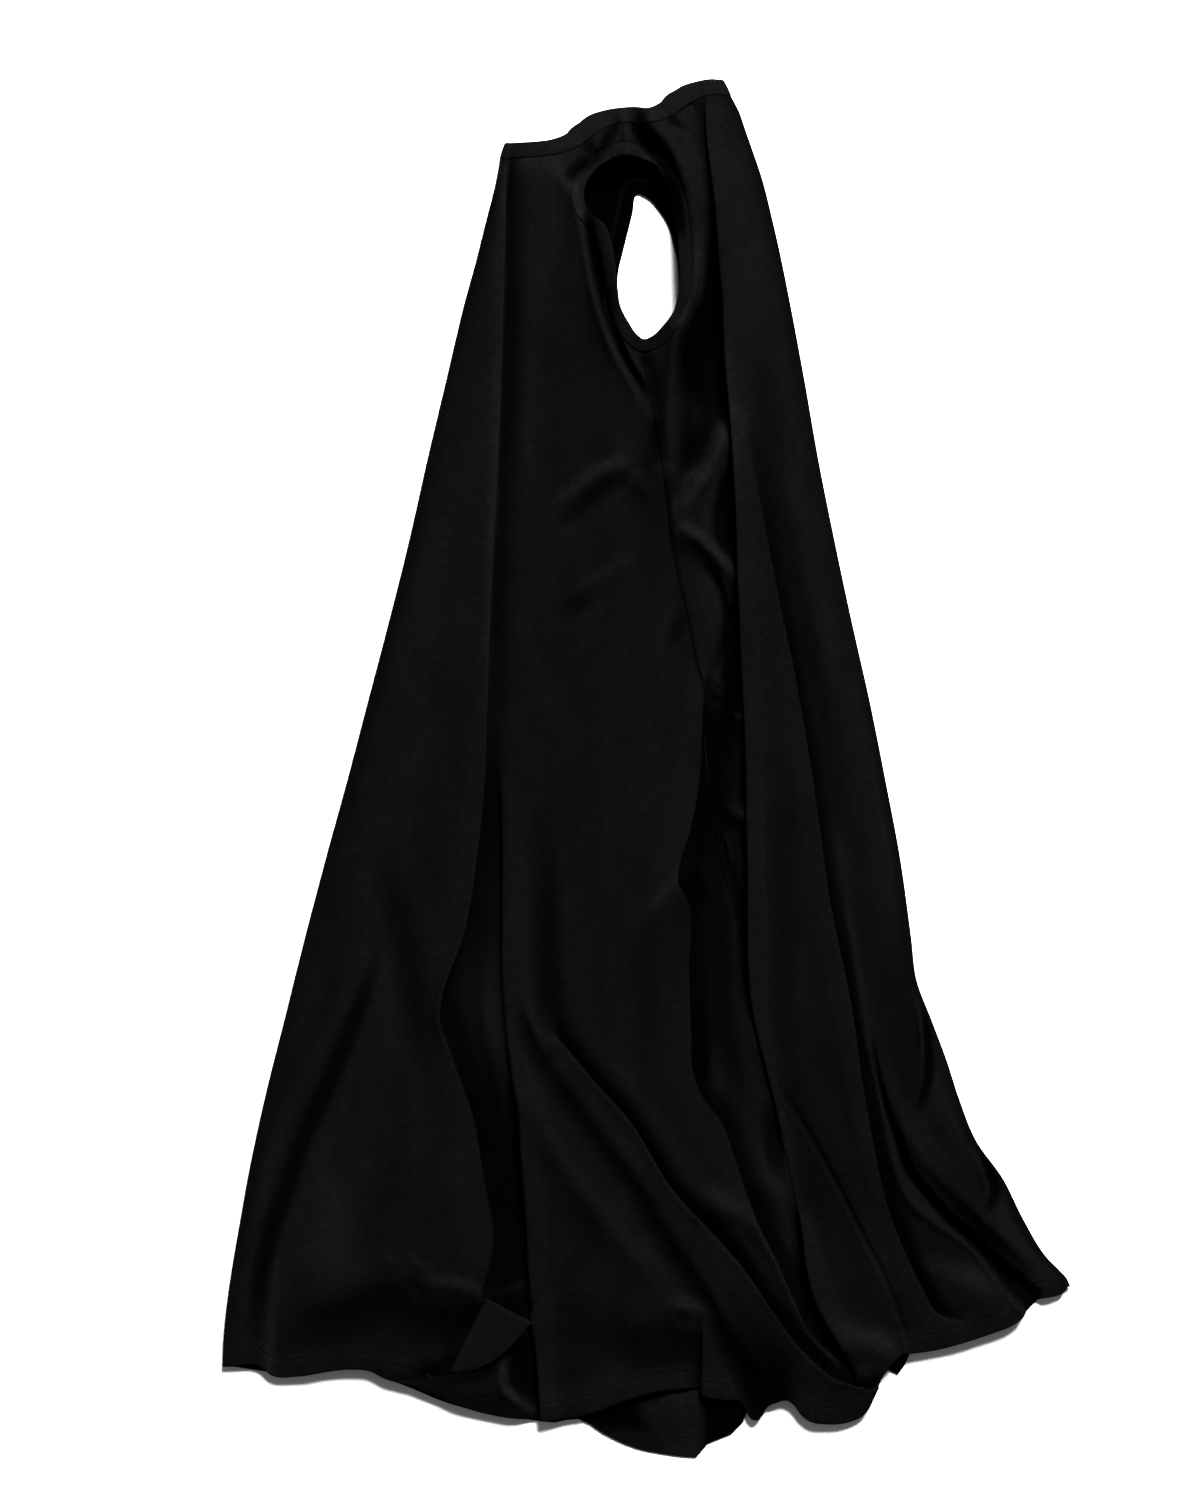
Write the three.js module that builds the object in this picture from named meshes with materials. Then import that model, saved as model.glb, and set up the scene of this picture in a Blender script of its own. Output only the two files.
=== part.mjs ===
// A sleeveless, very full, ankle-length jersey dress lying on its side, ready to be laid in a scene.
// The wearer's right half is the lower ply, flat on the surface, and the left half is the upper ply.
// The plies are joined by two folds: centre front on the left (-X) and centre back on the right (+X).
// Millimetres, +Y towards the neck, +Z up from the surface, which is z = 0.

import * as THREE from "three";

// Overall sizes of the folded dress.
const LENGTH = 1380; // back of the neck to the lowest point of the hem
const HEM_SPAN = 848; // from the front tip of the hem to the back tip

// The neck, the shoulder and the flare of the skirt.
const NECK_SPAN = 222; // from the front of the neck to the back
const NECK_RISE = 64; // of the back of the neck above the front
const SHOULDER_ACROSS = 122; // from the front of the neck to the shoulder seam
const SHOULDER_DROP = 32; // of the shoulder seam below the back of the neck
const FRONT_FLARE = 277; // how far the front tip of the hem stands out from the neck
const FRONT_TIP_RISE = 92; // of the front tip above the lowest point of the hem
const BACK_TIP_RISE = 170; // of the back tip
const SIDE_ACROSS = 588; // from the front tip of the hem to the side seam
const SIDE_RISE = 33; // of the hem at the side seam
const STRAP = 22; // shoulder between the seams of the neck and armhole bindings
const ARMHOLE_DEPTH = 208; // between the binding seams, along the side
const ARMHOLE_WIDTH = 104; // between the binding seams, across
const ARMHOLE_LEAN = 21; // how far its lowest point lies behind its top
const ARCH = 7; // how far the cloth lines bow out round the armhole

// Trims.
const NECK_BAND = 15; // width of the neck binding
const ARM_BAND = 12; // width of the armhole bindings
const HEM_DEPTH = 22; // turned-up hem, from the edge to the twin needle stitching
const STITCH_WIDTH = 6; // width of the looper thread behind the twin needle stitching
const OVERLOCK_WIDTH = 5; // width of the overlocked seams
const TAPE_WIDTH = 8; // width of the stay tapes
const SIZE_LABEL = { across: 24, along: 16, below: 45, from: 25 }; // below the neck, from the back fold
const CARE_LABEL = { across: 28, along: 60, below: 620, from: 25 }; // below the underarm, from the seam

// Thicknesses. A ply is the folded jersey of one half, pressed flat.
const PLY = 2;
const TRIM = 0.6; // tapes, threads and labels
const GAP = 0.3; // left between two pieces that touch
const SLACK = 0.45; // left between a ply and a trim inside it

// How high the middle of the upper ply stands, along its middle line, and the radius of its folds.
const FOLD_RADIUS = 3.6;
const NECK_LIFT = 14;
const SHOULDER_LIFT = 27;
const ARMHOLE_LIFT = 33;
const UNDERARM_LIFT = 22;
const SKIRT_LIFT = 17;
const HEM_LIFT = 13;

// How each line bows: a share of its run, and how far it stands up or right of straight there.
const FRONT_FOLD_BOW = [[0.49, -7], [0.78, -18], [0.9, -16]];
const BACK_FOLD_BOW = [[0.06, 8], [0.12, 10], [0.25, -4], [0.57, -34], [0.84, -53], [0.94, -26]];
const SIDE_SEAM_BOW = [[0.17, -5], [0.28, 5], [0.43, -5], [0.6, 0], [0.78, 19]];
const FRONT_NECK_BOW = [[0.38, -12], [0.66, -8]];
const BACK_NECK_BOW = [[0.44, -3], [0.75, 4]];
const FRONT_HEM_BOW = [[0.43, -20], [0.81, -44]];
const BACK_HEM_BOW = [[0.3, -11], [0.64, -8]];

// How finely the plies are divided.
const SHOULDER_ROWS = 2;
const ARMHOLE_ROWS = 16;
const SKIRT_ROWS = 18;
const FRONT_COLUMNS = 10;
const BACK_COLUMNS = 8;
const FOLD_STEPS = 6;

const LOWER = PLY / 2; // height of the middle of the lower ply
const FOLD_TOP = LOWER + 2 * FOLD_RADIUS; // height of the middle of the upper ply at a fold

// The corners of the plan, from the front tip of the hem, at x = 0, and its lowest point, at y = 0.
const frontTip = new THREE.Vector2(0, FRONT_TIP_RISE);
const backTip = new THREE.Vector2(HEM_SPAN, BACK_TIP_RISE);
const sideHem = new THREE.Vector2(SIDE_ACROSS, SIDE_RISE);
const neckFront = new THREE.Vector2(FRONT_FLARE, LENGTH - NECK_RISE);
const neckBack = new THREE.Vector2(FRONT_FLARE + NECK_SPAN, LENGTH);
const neckSide = new THREE.Vector2(FRONT_FLARE + SHOULDER_ACROSS, LENGTH - SHOULDER_DROP);
const armholeTop = new THREE.Vector2(neckSide.x, neckSide.y - NECK_BAND - GAP - STRAP);
const armholeLow = new THREE.Vector2(armholeTop.x + ARMHOLE_LEAN, armholeTop.y - ARMHOLE_DEPTH);

// A curve between two points. Its bow stands off across a line that runs down, or up off one that runs over.
function curve(start, end, bow) {
  const over = Math.abs(end.x - start.x) > Math.abs(end.y - start.y);
  const stand = new THREE.Vector2(over ? 0 : 1, over ? 1 : 0);
  const points = bow.map(([share, off]) => start.clone().lerp(end, share).addScaledVector(stand, off));
  return new THREE.SplineCurve([start, ...points, end]);
}

const frontFold = curve(neckFront, frontTip, FRONT_FOLD_BOW);
const backFold = curve(neckBack, backTip, BACK_FOLD_BOW);
const sideSeam = curve(armholeLow, sideHem, SIDE_SEAM_BOW);
const frontNeck = curve(neckFront, neckSide, FRONT_NECK_BOW);
const backNeck = curve(neckSide, neckBack, BACK_NECK_BOW);
const frontHem = curve(frontTip, sideHem, FRONT_HEM_BOW);
const backHem = curve(sideHem, backTip, BACK_HEM_BOW);

// Straight interpolation in a list of [key, value] pairs whose keys rise.
function lookUp(pairs, key) {
  const after = pairs.findIndex(([k]) => k >= key);
  if (after === 0) return pairs[0][1];
  if (after < 0) return pairs[pairs.length - 1][1];
  const [k0, v0] = pairs[after - 1];
  const [k1, v1] = pairs[after];
  return v0 + ((v1 - v0) * (key - k0)) / (k1 - k0);
}

// The armhole is egg shaped, narrower below. Turn 0 is its top, and turn 0.5 its lowest point.
function armhole(turn, inset) {
  const angle = 2 * Math.PI * turn;
  const rise = (1 + Math.cos(angle)) / 2;
  const depth = ARMHOLE_DEPTH / 2 - inset;
  const width = (ARMHOLE_WIDTH / 2 - inset) * (0.84 + 0.16 * rise);
  return new THREE.Vector2(
    armholeLow.x - ARMHOLE_LEAN * rise * rise + width * Math.sin(angle),
    armholeLow.y + ARMHOLE_DEPTH / 2 + depth * Math.cos(angle),
  );
}

const shares = (steps) => Array.from({ length: steps + 1 }, (_, k) => k / steps);
const dropped = (p, drop) => new THREE.Vector2(p.x, p.y - drop);

// Where each cloth line of a panel ends, at the shoulder, the armhole and the side, how far that line
// bows up near its end, and how far it follows the neck. Side is -1 in front, 1 behind.
function seamLine(side) {
  const shift = (side * GAP) / 2;
  const shoulder = dropped(neckSide, NECK_BAND + GAP);
  const points = [];
  const add = (p, bow, neckward) =>
    points.push({ end: new THREE.Vector2(p.x + shift, p.y), bow: ARCH * bow, neckward });
  const open = (steps) => shares(steps).slice(0, -1);
  open(SHOULDER_ROWS).forEach((k) => add(shoulder.clone().lerp(armholeTop, k), k, 1 - k));
  open(ARMHOLE_ROWS).forEach((k) => add(armhole((side * k) / 2, 0), (1 - 2 * k) ** 3, 0));
  shares(SKIRT_ROWS).forEach((k) => add(sideSeam.getPointAt(k), -((1 - k) ** 6), 0));
  return points;
}

// The plan of one half of a panel: rows from neck to hem, each from the fold to the seam.
function panelPlan(side) {
  const front = side < 0;
  const fold = front ? frontFold : backFold;
  const neck = (u) => (front ? frontNeck.getPoint(u) : backNeck.getPoint(1 - u));
  const hem = (u) => (front ? frontHem.getPoint(u) : backHem.getPoint(1 - u));
  const columns = shares(front ? FRONT_COLUMNS : BACK_COLUMNS);
  const seam = seamLine(side);
  const top = seam[0].end.y;
  const drop = top - seam.at(-1).end.y;
  const bend = (line, u) => line(u).sub(line(0).lerp(line(1), u));
  return seam.map(({ end, bow, neckward }) => {
    const v = (top - end.y) / drop;
    const start = fold.getPointAt(v);
    start.x -= side * FOLD_RADIUS;
    start.y -= (NECK_BAND + GAP) * (1 - v);
    return columns.map((u) =>
      start
        .clone()
        .lerp(end, u)
        .add(new THREE.Vector2(0, 6.75 * bow * u * u * (1 - u)))
        .addScaledVector(bend(neck, u), neckward)
        .addScaledVector(bend(hem, u), v ** 8),
    );
  });
}

const frontPlan = panelPlan(-1);
const backPlan = panelPlan(1);
const foldEdge = (plan) => plan.map((row) => [row[0].y, row[0].x]).reverse();
const frontEdge = foldEdge(frontPlan);
const backEdge = foldEdge(backPlan);

const LIFT = [
  [0, HEM_LIFT],
  [(armholeLow.y * 2) / 3, SKIRT_LIFT],
  [armholeLow.y, UNDERARM_LIFT],
  [armholeLow.y + ARMHOLE_DEPTH / 3, ARMHOLE_LIFT],
  [armholeLow.y + (ARMHOLE_DEPTH * 3) / 4, ARMHOLE_LIFT],
  [armholeTop.y, SHOULDER_LIFT],
  [LENGTH, NECK_LIFT],
];

// Height of the middle of the upper ply above any point of the plan.
function upper(x, y) {
  const left = lookUp(frontEdge, y);
  const right = lookUp(backEdge, y);
  const share = THREE.MathUtils.clamp((x - left) / (right - left), 0, 1);
  const middle = lookUp(LIFT, y);
  return FOLD_TOP + (middle - FOLD_TOP) * Math.sin(Math.PI * share);
}

// A closed solid of even thickness round a surface given as rows of points.
// With ring, the last row joins the first.
function sheet(rows, thickness, ring = false) {
  const count = rows.length;
  const width = rows[0].length;
  const at = (r, c) => rows[ring ? (r + count) % count : THREE.MathUtils.clamp(r, 0, count - 1)][c];
  const positions = [];
  for (const side of [1, -1]) {
    for (let r = 0; r < count; r += 1) {
      for (let c = 0; c < width; c += 1) {
        const along = at(r + 1, c).clone().sub(at(r - 1, c));
        const across = at(r, Math.min(c + 1, width - 1)).clone().sub(at(r, Math.max(c - 1, 0)));
        const normal = along.cross(across).normalize();
        positions.push(...at(r, c).clone().addScaledVector(normal, (side * thickness) / 2).toArray());
      }
    }
  }
  const id = (side, r, c) => (side * count + (r % count)) * width + c;
  const index = [];
  const quad = (a, b, c, d) => index.push(a, b, c, a, c, d);
  const spans = ring ? count : count - 1;
  for (let r = 0; r < spans; r += 1) {
    for (let c = 0; c < width - 1; c += 1) {
      quad(id(0, r, c), id(0, r + 1, c), id(0, r + 1, c + 1), id(0, r, c + 1));
      quad(id(1, r, c), id(1, r, c + 1), id(1, r + 1, c + 1), id(1, r + 1, c));
    }
    quad(id(0, r, 0), id(1, r, 0), id(1, r + 1, 0), id(0, r + 1, 0));
    const last = width - 1;
    quad(id(0, r, last), id(0, r + 1, last), id(1, r + 1, last), id(1, r, last));
  }
  if (!ring) {
    const end = count - 1;
    for (let c = 0; c < width - 1; c += 1) {
      quad(id(0, 0, c), id(0, 0, c + 1), id(1, 0, c + 1), id(1, 0, c));
      quad(id(0, end, c), id(1, end, c), id(1, end, c + 1), id(0, end, c + 1));
    }
  }
  const geometry = new THREE.BufferGeometry();
  geometry.setAttribute("position", new THREE.Float32BufferAttribute(positions, 3));
  geometry.setIndex(index);
  geometry.computeVertexNormals();
  return geometry;
}

// Points of the plan carried on to the inside or outside of a ply: depth is how far inside its middle.
const onUpper = (p, depth = 0) => new THREE.Vector3(p.x, p.y, upper(p.x, p.y) - depth);
const onLower = (p, depth = 0) => new THREE.Vector3(p.x, p.y, LOWER + depth);

// The half circle from the upper ply to the lower one, round a fold. Side is -1 in front and 1 behind.
function roundFold(p, side, depth) {
  const radius = FOLD_RADIUS - depth;
  const points = [];
  for (let k = 1; k < FOLD_STEPS; k += 1) {
    const angle = (Math.PI * k) / FOLD_STEPS;
    const out = side * radius * Math.sin(angle);
    const height = LOWER + FOLD_RADIUS + radius * Math.cos(angle);
    points.push(new THREE.Vector3(p.x + out, p.y, height));
  }
  return points;
}

function panel(side) {
  const rows = (side < 0 ? frontPlan : backPlan).map((row) => [
    ...row.map((p) => onUpper(p)).reverse(),
    ...roundFold(row[0], side, 0),
    ...row.map((p) => onLower(p)),
  ]);
  if (side > 0) rows.forEach((row) => row.reverse());
  return sheet(rows, PLY);
}

// A flat ring round the whole folded tube, between two lines that run from the front fold to the back.
function tubeRing(lines, depth, thickness) {
  const [front, back] = [-1, 1];
  const loops = lines.map((line) => [
    ...line.map((p) => onUpper(p, depth)),
    ...roundFold(line[line.length - 1], back, depth),
    ...line.map((p) => onLower(p, depth)).reverse(),
    ...roundFold(line[0], front, depth).reverse(),
  ]);
  const rows = loops[0].map((_, k) => loops.map((loop) => loop[k]));
  return sheet(rows, thickness, true);
}

// A line from the front fold to the back one, at a rise above a row of both panels.
function acrossLine(row, rise) {
  const ends = [frontPlan, backPlan].map((plan) => plan.at(row));
  return [...ends[0], ...ends[1].slice(0, -1).reverse()].map((p) => {
    const y = p.y + rise;
    return new THREE.Vector2(THREE.MathUtils.clamp(p.x, lookUp(frontEdge, y), lookUp(backEdge, y)), y);
  });
}
const neckLine = (drop) => acrossLine(0, NECK_BAND + GAP - drop);
const hemLine = (rise) => acrossLine(-1, rise);

// A strip inside a ply: half of its width on each side of a line of the plan.
function strip(line, carry, width, depth, thickness) {
  const rows = line.map((p, k) => {
    const ahead = line[Math.min(k + 1, line.length - 1)];
    const behind = line[Math.max(k - 1, 0)];
    const side = ahead.clone().sub(behind).normalize().rotateAround(new THREE.Vector2(), Math.PI / 2);
    return [1, -1].map((way) => carry(p.clone().addScaledVector(side, (way * width) / 2), depth));
  });
  return sheet(rows, thickness);
}

function armholeBand(carry) {
  const rows = shares(2 * ARMHOLE_ROWS)
    .slice(0, -1)
    .map((turn) => [armhole(-turn, GAP), armhole(-turn, ARM_BAND)].map((p) => carry(p)));
  return sheet(rows, PLY, true);
}

// Overlock round the inside of an armhole seam, on the panels' side of it.
function armholeOverlock(carry) {
  const rows = shares(2 * ARMHOLE_ROWS)
    .slice(0, -1)
    .map((turn) => [armhole(-turn, -OVERLOCK_WIDTH), armhole(-turn, 0)].map((p) => carry(p, UNDER)));
  return sheet(rows, TRIM, true);
}

const UNDER = PLY / 2 + SLACK + TRIM / 2; // depth of a trim that lies on the inside of a ply
const UNDER_TRIM = UNDER + TRIM + GAP; // depth of one that lies on another trim

const shoulderSeam = [0.1, 0.55, 1].map((k) => {
  const neckEnd = dropped(neckSide, NECK_BAND + OVERLOCK_WIDTH + 2 * GAP);
  const armEnd = dropped(armholeTop, -OVERLOCK_WIDTH - 2 * GAP);
  return neckEnd.lerp(armEnd, k);
});
const sideLine = shares(SKIRT_ROWS).map((k) => sideSeam.getPointAt(k));
sideLine[0].y -= OVERLOCK_WIDTH + 2 * GAP;
sideLine[SKIRT_ROWS].y += HEM_DEPTH + STITCH_WIDTH + OVERLOCK_WIDTH; // clear of the hem stitching

// The tape lies over the neck overlock of the back panel, folded round the centre back.
function backNeckTape() {
  const drops = [NECK_BAND + GAP, NECK_BAND + GAP + TAPE_WIDTH];
  const rows = drops.map((drop) => {
    const line = neckLine(drop).slice(FRONT_COLUMNS + 1);
    return [
      ...line.map((p) => onUpper(p, UNDER_TRIM)),
      ...roundFold(line[line.length - 1], 1, UNDER_TRIM),
      ...line.map((p) => onLower(p, UNDER_TRIM)).reverse(),
    ];
  });
  return sheet(
    rows[0].map((_, k) => [rows[0][k], rows[1][k]]),
    TRIM,
  );
}

// A label, flat against the inside of a ply, some way below a point and to one side of an edge.
const sideEdge = sideLine.map((p) => [p.y, p.x]).reverse();
function label(above, edge, side, size, carry) {
  const y = above.y - size.below;
  const x = lookUp(edge, y) + side * size.from;
  const line = [-0.5, 0, 0.5].map((k) => new THREE.Vector2(x, y - k * size.along));
  return strip(line, carry, size.across, UNDER, TRIM);
}

const JERSEY = new THREE.Color(0x0e0e0f);
const BINDING = new THREE.Color(0x0d0d0e);
const THREAD = new THREE.Color(0x111112);
const TAPE = new THREE.Color(0x161617);
const SATIN = new THREE.Color(0xd9d9d6);

const lay = new THREE.Group();
function add(name, geometry, color, roughness = 0.95) {
  const material = new THREE.MeshStandardMaterial({ color, roughness, metalness: 0 });
  const mesh = new THREE.Mesh(geometry, material);
  mesh.name = name;
  lay.add(mesh);
}

add("front_panel", panel(-1), JERSEY);
add("back_panel", panel(1), JERSEY);
add("neck_binding", tubeRing([neckLine(0), neckLine(NECK_BAND - GAP)], 0, PLY), BINDING);
const overlockDrops = [NECK_BAND + GAP, NECK_BAND + GAP + OVERLOCK_WIDTH];
add("neck_overlock", tubeRing(overlockDrops.map(neckLine), UNDER, TRIM), THREAD);
add("back_neck_tape", backNeckTape(), TAPE);
const stitchRises = [HEM_DEPTH + STITCH_WIDTH / 2, HEM_DEPTH - STITCH_WIDTH / 2];
add("hem_coverstitch", tubeRing(stitchRises.map(hemLine), UNDER, TRIM), THREAD);
for (const [name, carry] of [
  ["left", onUpper],
  ["right", onLower],
]) {
  add(name + "_armhole_binding", armholeBand(carry), BINDING);
  add(name + "_armhole_overlock", armholeOverlock(carry), THREAD);
  add(name + "_shoulder_overlock", strip(shoulderSeam, carry, OVERLOCK_WIDTH, UNDER, TRIM), THREAD);
  add(name + "_shoulder_tape", strip(shoulderSeam, carry, TAPE_WIDTH, UNDER_TRIM, TRIM), TAPE);
  add(name + "_side_overlock", strip(sideLine, carry, OVERLOCK_WIDTH, UNDER, TRIM), THREAD);
}
add("size_label", label(neckBack, backEdge, -1, SIZE_LABEL, onLower), SATIN, 0.5);
add("care_label", label(armholeLow, sideEdge, 1, CARE_LABEL, onUpper), SATIN, 0.5);

// The origin is under the middle of the whole.
const box = new THREE.Box3().setFromObject(lay);
const middle = box.getCenter(new THREE.Vector3());
lay.position.set(-middle.x, -middle.y, -box.min.z);

const group = new THREE.Group();
group.name = "sleeveless_flared_dress";
group.add(lay);

export default group;
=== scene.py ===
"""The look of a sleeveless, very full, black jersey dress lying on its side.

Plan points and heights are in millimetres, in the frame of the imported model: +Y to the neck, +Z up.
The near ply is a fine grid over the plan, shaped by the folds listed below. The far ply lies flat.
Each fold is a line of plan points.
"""

import math

import bpy
import numpy as np
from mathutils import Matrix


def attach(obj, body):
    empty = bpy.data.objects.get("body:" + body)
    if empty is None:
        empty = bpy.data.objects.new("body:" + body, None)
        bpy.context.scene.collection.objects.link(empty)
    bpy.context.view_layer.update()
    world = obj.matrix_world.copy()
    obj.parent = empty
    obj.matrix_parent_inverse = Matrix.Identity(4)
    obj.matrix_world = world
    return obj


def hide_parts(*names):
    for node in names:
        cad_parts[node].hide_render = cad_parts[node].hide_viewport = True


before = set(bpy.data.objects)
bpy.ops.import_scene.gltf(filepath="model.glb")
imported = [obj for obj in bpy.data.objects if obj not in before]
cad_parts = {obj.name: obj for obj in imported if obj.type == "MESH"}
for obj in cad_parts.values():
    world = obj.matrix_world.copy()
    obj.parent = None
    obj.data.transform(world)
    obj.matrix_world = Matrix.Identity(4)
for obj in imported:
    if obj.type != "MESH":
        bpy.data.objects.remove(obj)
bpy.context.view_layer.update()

MM = 0.001
CLOTH = 0.8  # thickness of one layer of jersey
FAR = 1.0  # height of the middle of the far ply
FOLD = 3.0  # radius of the folds at the centre front and the centre back
TOP, DROP = 640, 1240  # about where the neck seam lies, and from there to the hem
NECK_BAND = 15.5
ARM_BAND = 12.0
BINDING_THICK = 2.6
HEM, NEEDLES = 22.0, 6.0  # depth of the turned-up hem, and the gap between its two rows of stitches
THREAD_THICK, TAPE_THICK = 0.7, 0.5
BELOW, DEEP = -3.0, -1.9  # from the near ply down to the left overlocks, and to the tapes
RIGHT_SHADE = 0.02  # painted shade of the trims that lie in the dark between the plies
RNG = np.random.default_rng(7)

# ---------------------------------------------------------------- the plan

FRONT_EDGE = [(-146,611), (-150,589), (-160,549), (-170,509), (-181,469), (-200,389), (-219,309), (-237,229),
    (-257,149), (-278,69), (-299,-11), (-321,-91), (-342,-171), (-362,-251), (-382,-331), (-399,-411), (-406,-451),
    (-413,-491), (-419,-531), (-423,-571), (-424,-598)]
BACK_EDGE = [(84,674), (92,659), (99,639), (106,619), (116,589), (126,549), (135,509), (143,469), (158,389), (172,309),
    (188,229), (205,149), (223,69), (239,-11), (254,-91), (265,-171), (270,-211), (285,-251), (300,-291), (313,-331),
    (329,-371), (357,-411), (377,-451), (402,-491), (413,-502), (421,-511), (424,-518)]
NECK = [(-146,611), (-116,610), (-90,612), (-72,618), (-56,629), (-40,640), (-16,645), (3,644), (22,650), (39,662),
    (52,670), (67,674), (84,674)]
HEM_NEAR = [(-424,-598), (-388,-598), (-378,-606), (-350,-607), (-325,-603), (-300,-600), (-278,-602), (-264,-609),
    (-240,-616), (-215,-626), (-190,-636), (-160,-645), (-106,-651), (-70,-648), (-30,-635), (0,-625), (35,-620),
    (53,-621), (61,-628), (80,-631), (95,-633), (100,-641), (105,-650), (111,-652), (117,-646), (121,-639), (132,-633),
    (141,-631), (148,-635), (155,-645), (164,-652), (180,-655), (204,-653), (219,-646), (229,-630), (238,-607),
    (247,-595), (258,-585), (268,-584), (290,-581), (320,-573), (350,-563), (368,-556), (378,-549), (385,-538),
    (397,-530), (412,-527), (420,-524), (424,-518)]
HEM_FAR = [(-424,-598), (-350,-606), (-300,-599), (-278,-602), (-264,-610), (-240,-619), (-200,-635), (-150,-647),
    (-110,-653), (-95,-655), (-70,-651), (-40,-668), (-10,-681), (20,-687), (50,-690), (57,-690), (60,-678), (80,-669),
    (95,-661), (98,-628), (130,-622), (165,-640), (190,-645), (222,-630), (230,-590), (238,-599), (248,-604),
    (258,-608), (262,-588), (320,-574), (372,-554), (397,-530), (424,-518)]
SEAM = [(-25,646), (-25,620), (-14,500), (-4,412), (8,345), (18,283), (22,240), (28,207), (37,168), (45,132), (53,90),
    (60,60), (64,-10), (68,-60), (83,-131), (99,-231), (118,-306), (138,-381), (154,-461), (162,-540), (168,-655)]
ARM_NEAR = [(-25,610), (-6,608), (7,604), (15,592), (24,570), (29,545), (32,510), (32,480), (26,454), (16,441),
    (5,431), (-3,428), (-9,432), (-18,445), (-26,461), (-29,481), (-31,500), (-35,524), (-42,542), (-56,553),
    (-62,566), (-59,585), (-50,597), (-38,606)]
ARM_FAR = [(-9,576), (2,571), (12,560), (21,546), (27,526), (31,506), (32,488), (31,469), (26,454), (16,441), (5,431),
    (-3,428), (-9,432), (-18,444), (-26,461), (-29,481), (-28,499), (-24,516), (-19,536), (-14,556)]

# Height of the middle of the near ply above the far one, along the dress.
LIFT = [(-690,10), (-600,13), (-500,17.5), (-415,20), (200,21), (412,26), (482,33), (560,36), (600,36), (622,31),
    (660,23), (700,18)]
RIDGES, STEPS = 2.3, 2.0  # how full the ridges and the knife edges are


def spline(points, step=6.0, closed=False):
    """A smooth line through the points, every column interpolated, at about even steps."""
    p = np.asarray(points, float)
    if closed:
        p = np.vstack([p[-3:], p, p[:3]])
    s = np.r_[0, np.cumsum(np.hypot(*np.diff(p[:, :2], axis=0).T))]
    m = np.gradient(p, s, axis=0)
    lo, hi = (s[3], s[-3]) if closed else (0, s[-1])
    t = np.linspace(lo, hi, max(3, int((hi - lo) / step) + 1))
    k = np.clip(np.searchsorted(s, t, side="right") - 1, 0, len(s) - 2)
    h = (s[k + 1] - s[k])[:, None]
    q = (t - s[k])[:, None] / h
    out = (2 * q**3 - 3 * q**2 + 1) * p[k] + (q**3 - 2 * q**2 + q) * h * m[k]
    out += (3 * q**2 - 2 * q**3) * p[k + 1] + (q**3 - q**2) * h * m[k + 1]
    return out[:-1] if closed else out


def nearest(line, x, y, reach):
    """For the points near a line: which they are, their distance from it, its columns there, its normal.

    The distance is positive to the right of a line that runs down the page."""
    lo, hi = line[:, :2].min(0) - reach, line[:, :2].max(0) + reach
    who = np.flatnonzero((x > lo[0]) & (x < hi[0]) & (y > lo[1]) & (y < hi[1]))
    px, py = x[who], y[who]
    best, seg, at = np.full(len(who), 1e18), np.zeros(len(who), int), np.zeros(len(who))
    for k in range(len(line) - 1):
        a, d = line[k, :2], line[k + 1, :2] - line[k, :2]
        t = np.clip(((px - a[0]) * d[0] + (py - a[1]) * d[1]) / (d @ d), 0, 1)
        q = (px - a[0] - t * d[0]) ** 2 + (py - a[1] - t * d[1]) ** 2
        m = q < best
        best[m], seg[m], at[m] = q[m], k, t[m]
    step = line[seg + 1] - line[seg]
    value = line[seg] + at[:, None] * step
    length = np.hypot(step[:, 0], step[:, 1])
    normal = np.stack([-step[:, 1], step[:, 0]], 1) / length[:, None]
    side = np.sign(step[:, 0] * (py - line[seg, 1]) - step[:, 1] * (px - line[seg, 0]))
    return who, side * np.sqrt(best), value, normal


def smooth(a, b, x):
    """A smooth step, from 0 at a to 1 at b."""
    t = np.clip((x - a) / (b - a), 0, 1)
    return t * t * (3 - 2 * t)


class Edge:
    """A curve read by share of its length, or by x or y where it is a function of it."""

    def __init__(self, points):
        self.p = spline(points, 3.0)
        self.s = np.r_[0, np.cumsum(np.hypot(*np.diff(self.p, axis=0).T))]

    def at(self, v):
        t = np.asarray(v) * self.s[-1]
        return np.interp(t, self.s, self.p[:, 0]), np.interp(t, self.s, self.p[:, 1])

    def y_at(self, x):
        return np.interp(x, self.p[:, 0], self.p[:, 1])

    def x_at(self, y):
        return np.interp(-np.asarray(y), -self.p[:, 1], self.p[:, 0])


front_edge, back_edge, neck, seam = Edge(FRONT_EDGE), Edge(BACK_EDGE), Edge(NECK), Edge(SEAM)
hem_near, hem_far = Edge(HEM_NEAR), Edge(HEM_FAR)


def plan(s, v, hem):
    """The plan point at share s from the front fold to the back one, and v from the neck seam to the hem."""
    lx, ly = front_edge.at(v)
    rx, ry = back_edge.at(v)
    lx, rx = lx + FOLD, rx - FOLD
    x = lx + (rx - lx) * s
    y = ly + (ry - ly) * s
    for line, share in ((neck, (1 - v)), (hem, v)):
        x0, y0, x1, y1 = line.p[0, 0], line.p[0, 1], line.p[-1, 0], line.p[-1, 1]
        y = y + share * (line.y_at(x0 + (x1 - x0) * s) - (y0 + (y1 - y0) * s))
    return x, y


def seam_share(v, hem):
    """Where the shoulder and side seams run: their share across, at each v."""
    s = np.full(len(v), 0.5)
    for _ in range(8):
        y = plan(s, v, hem)[1]
        lx, rx = front_edge.at(v)[0] + FOLD, back_edge.at(v)[0] - FOLD
        s = np.clip((seam.x_at(y) - lx) / (rx - lx), 0.1, 0.9)
    return s


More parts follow.
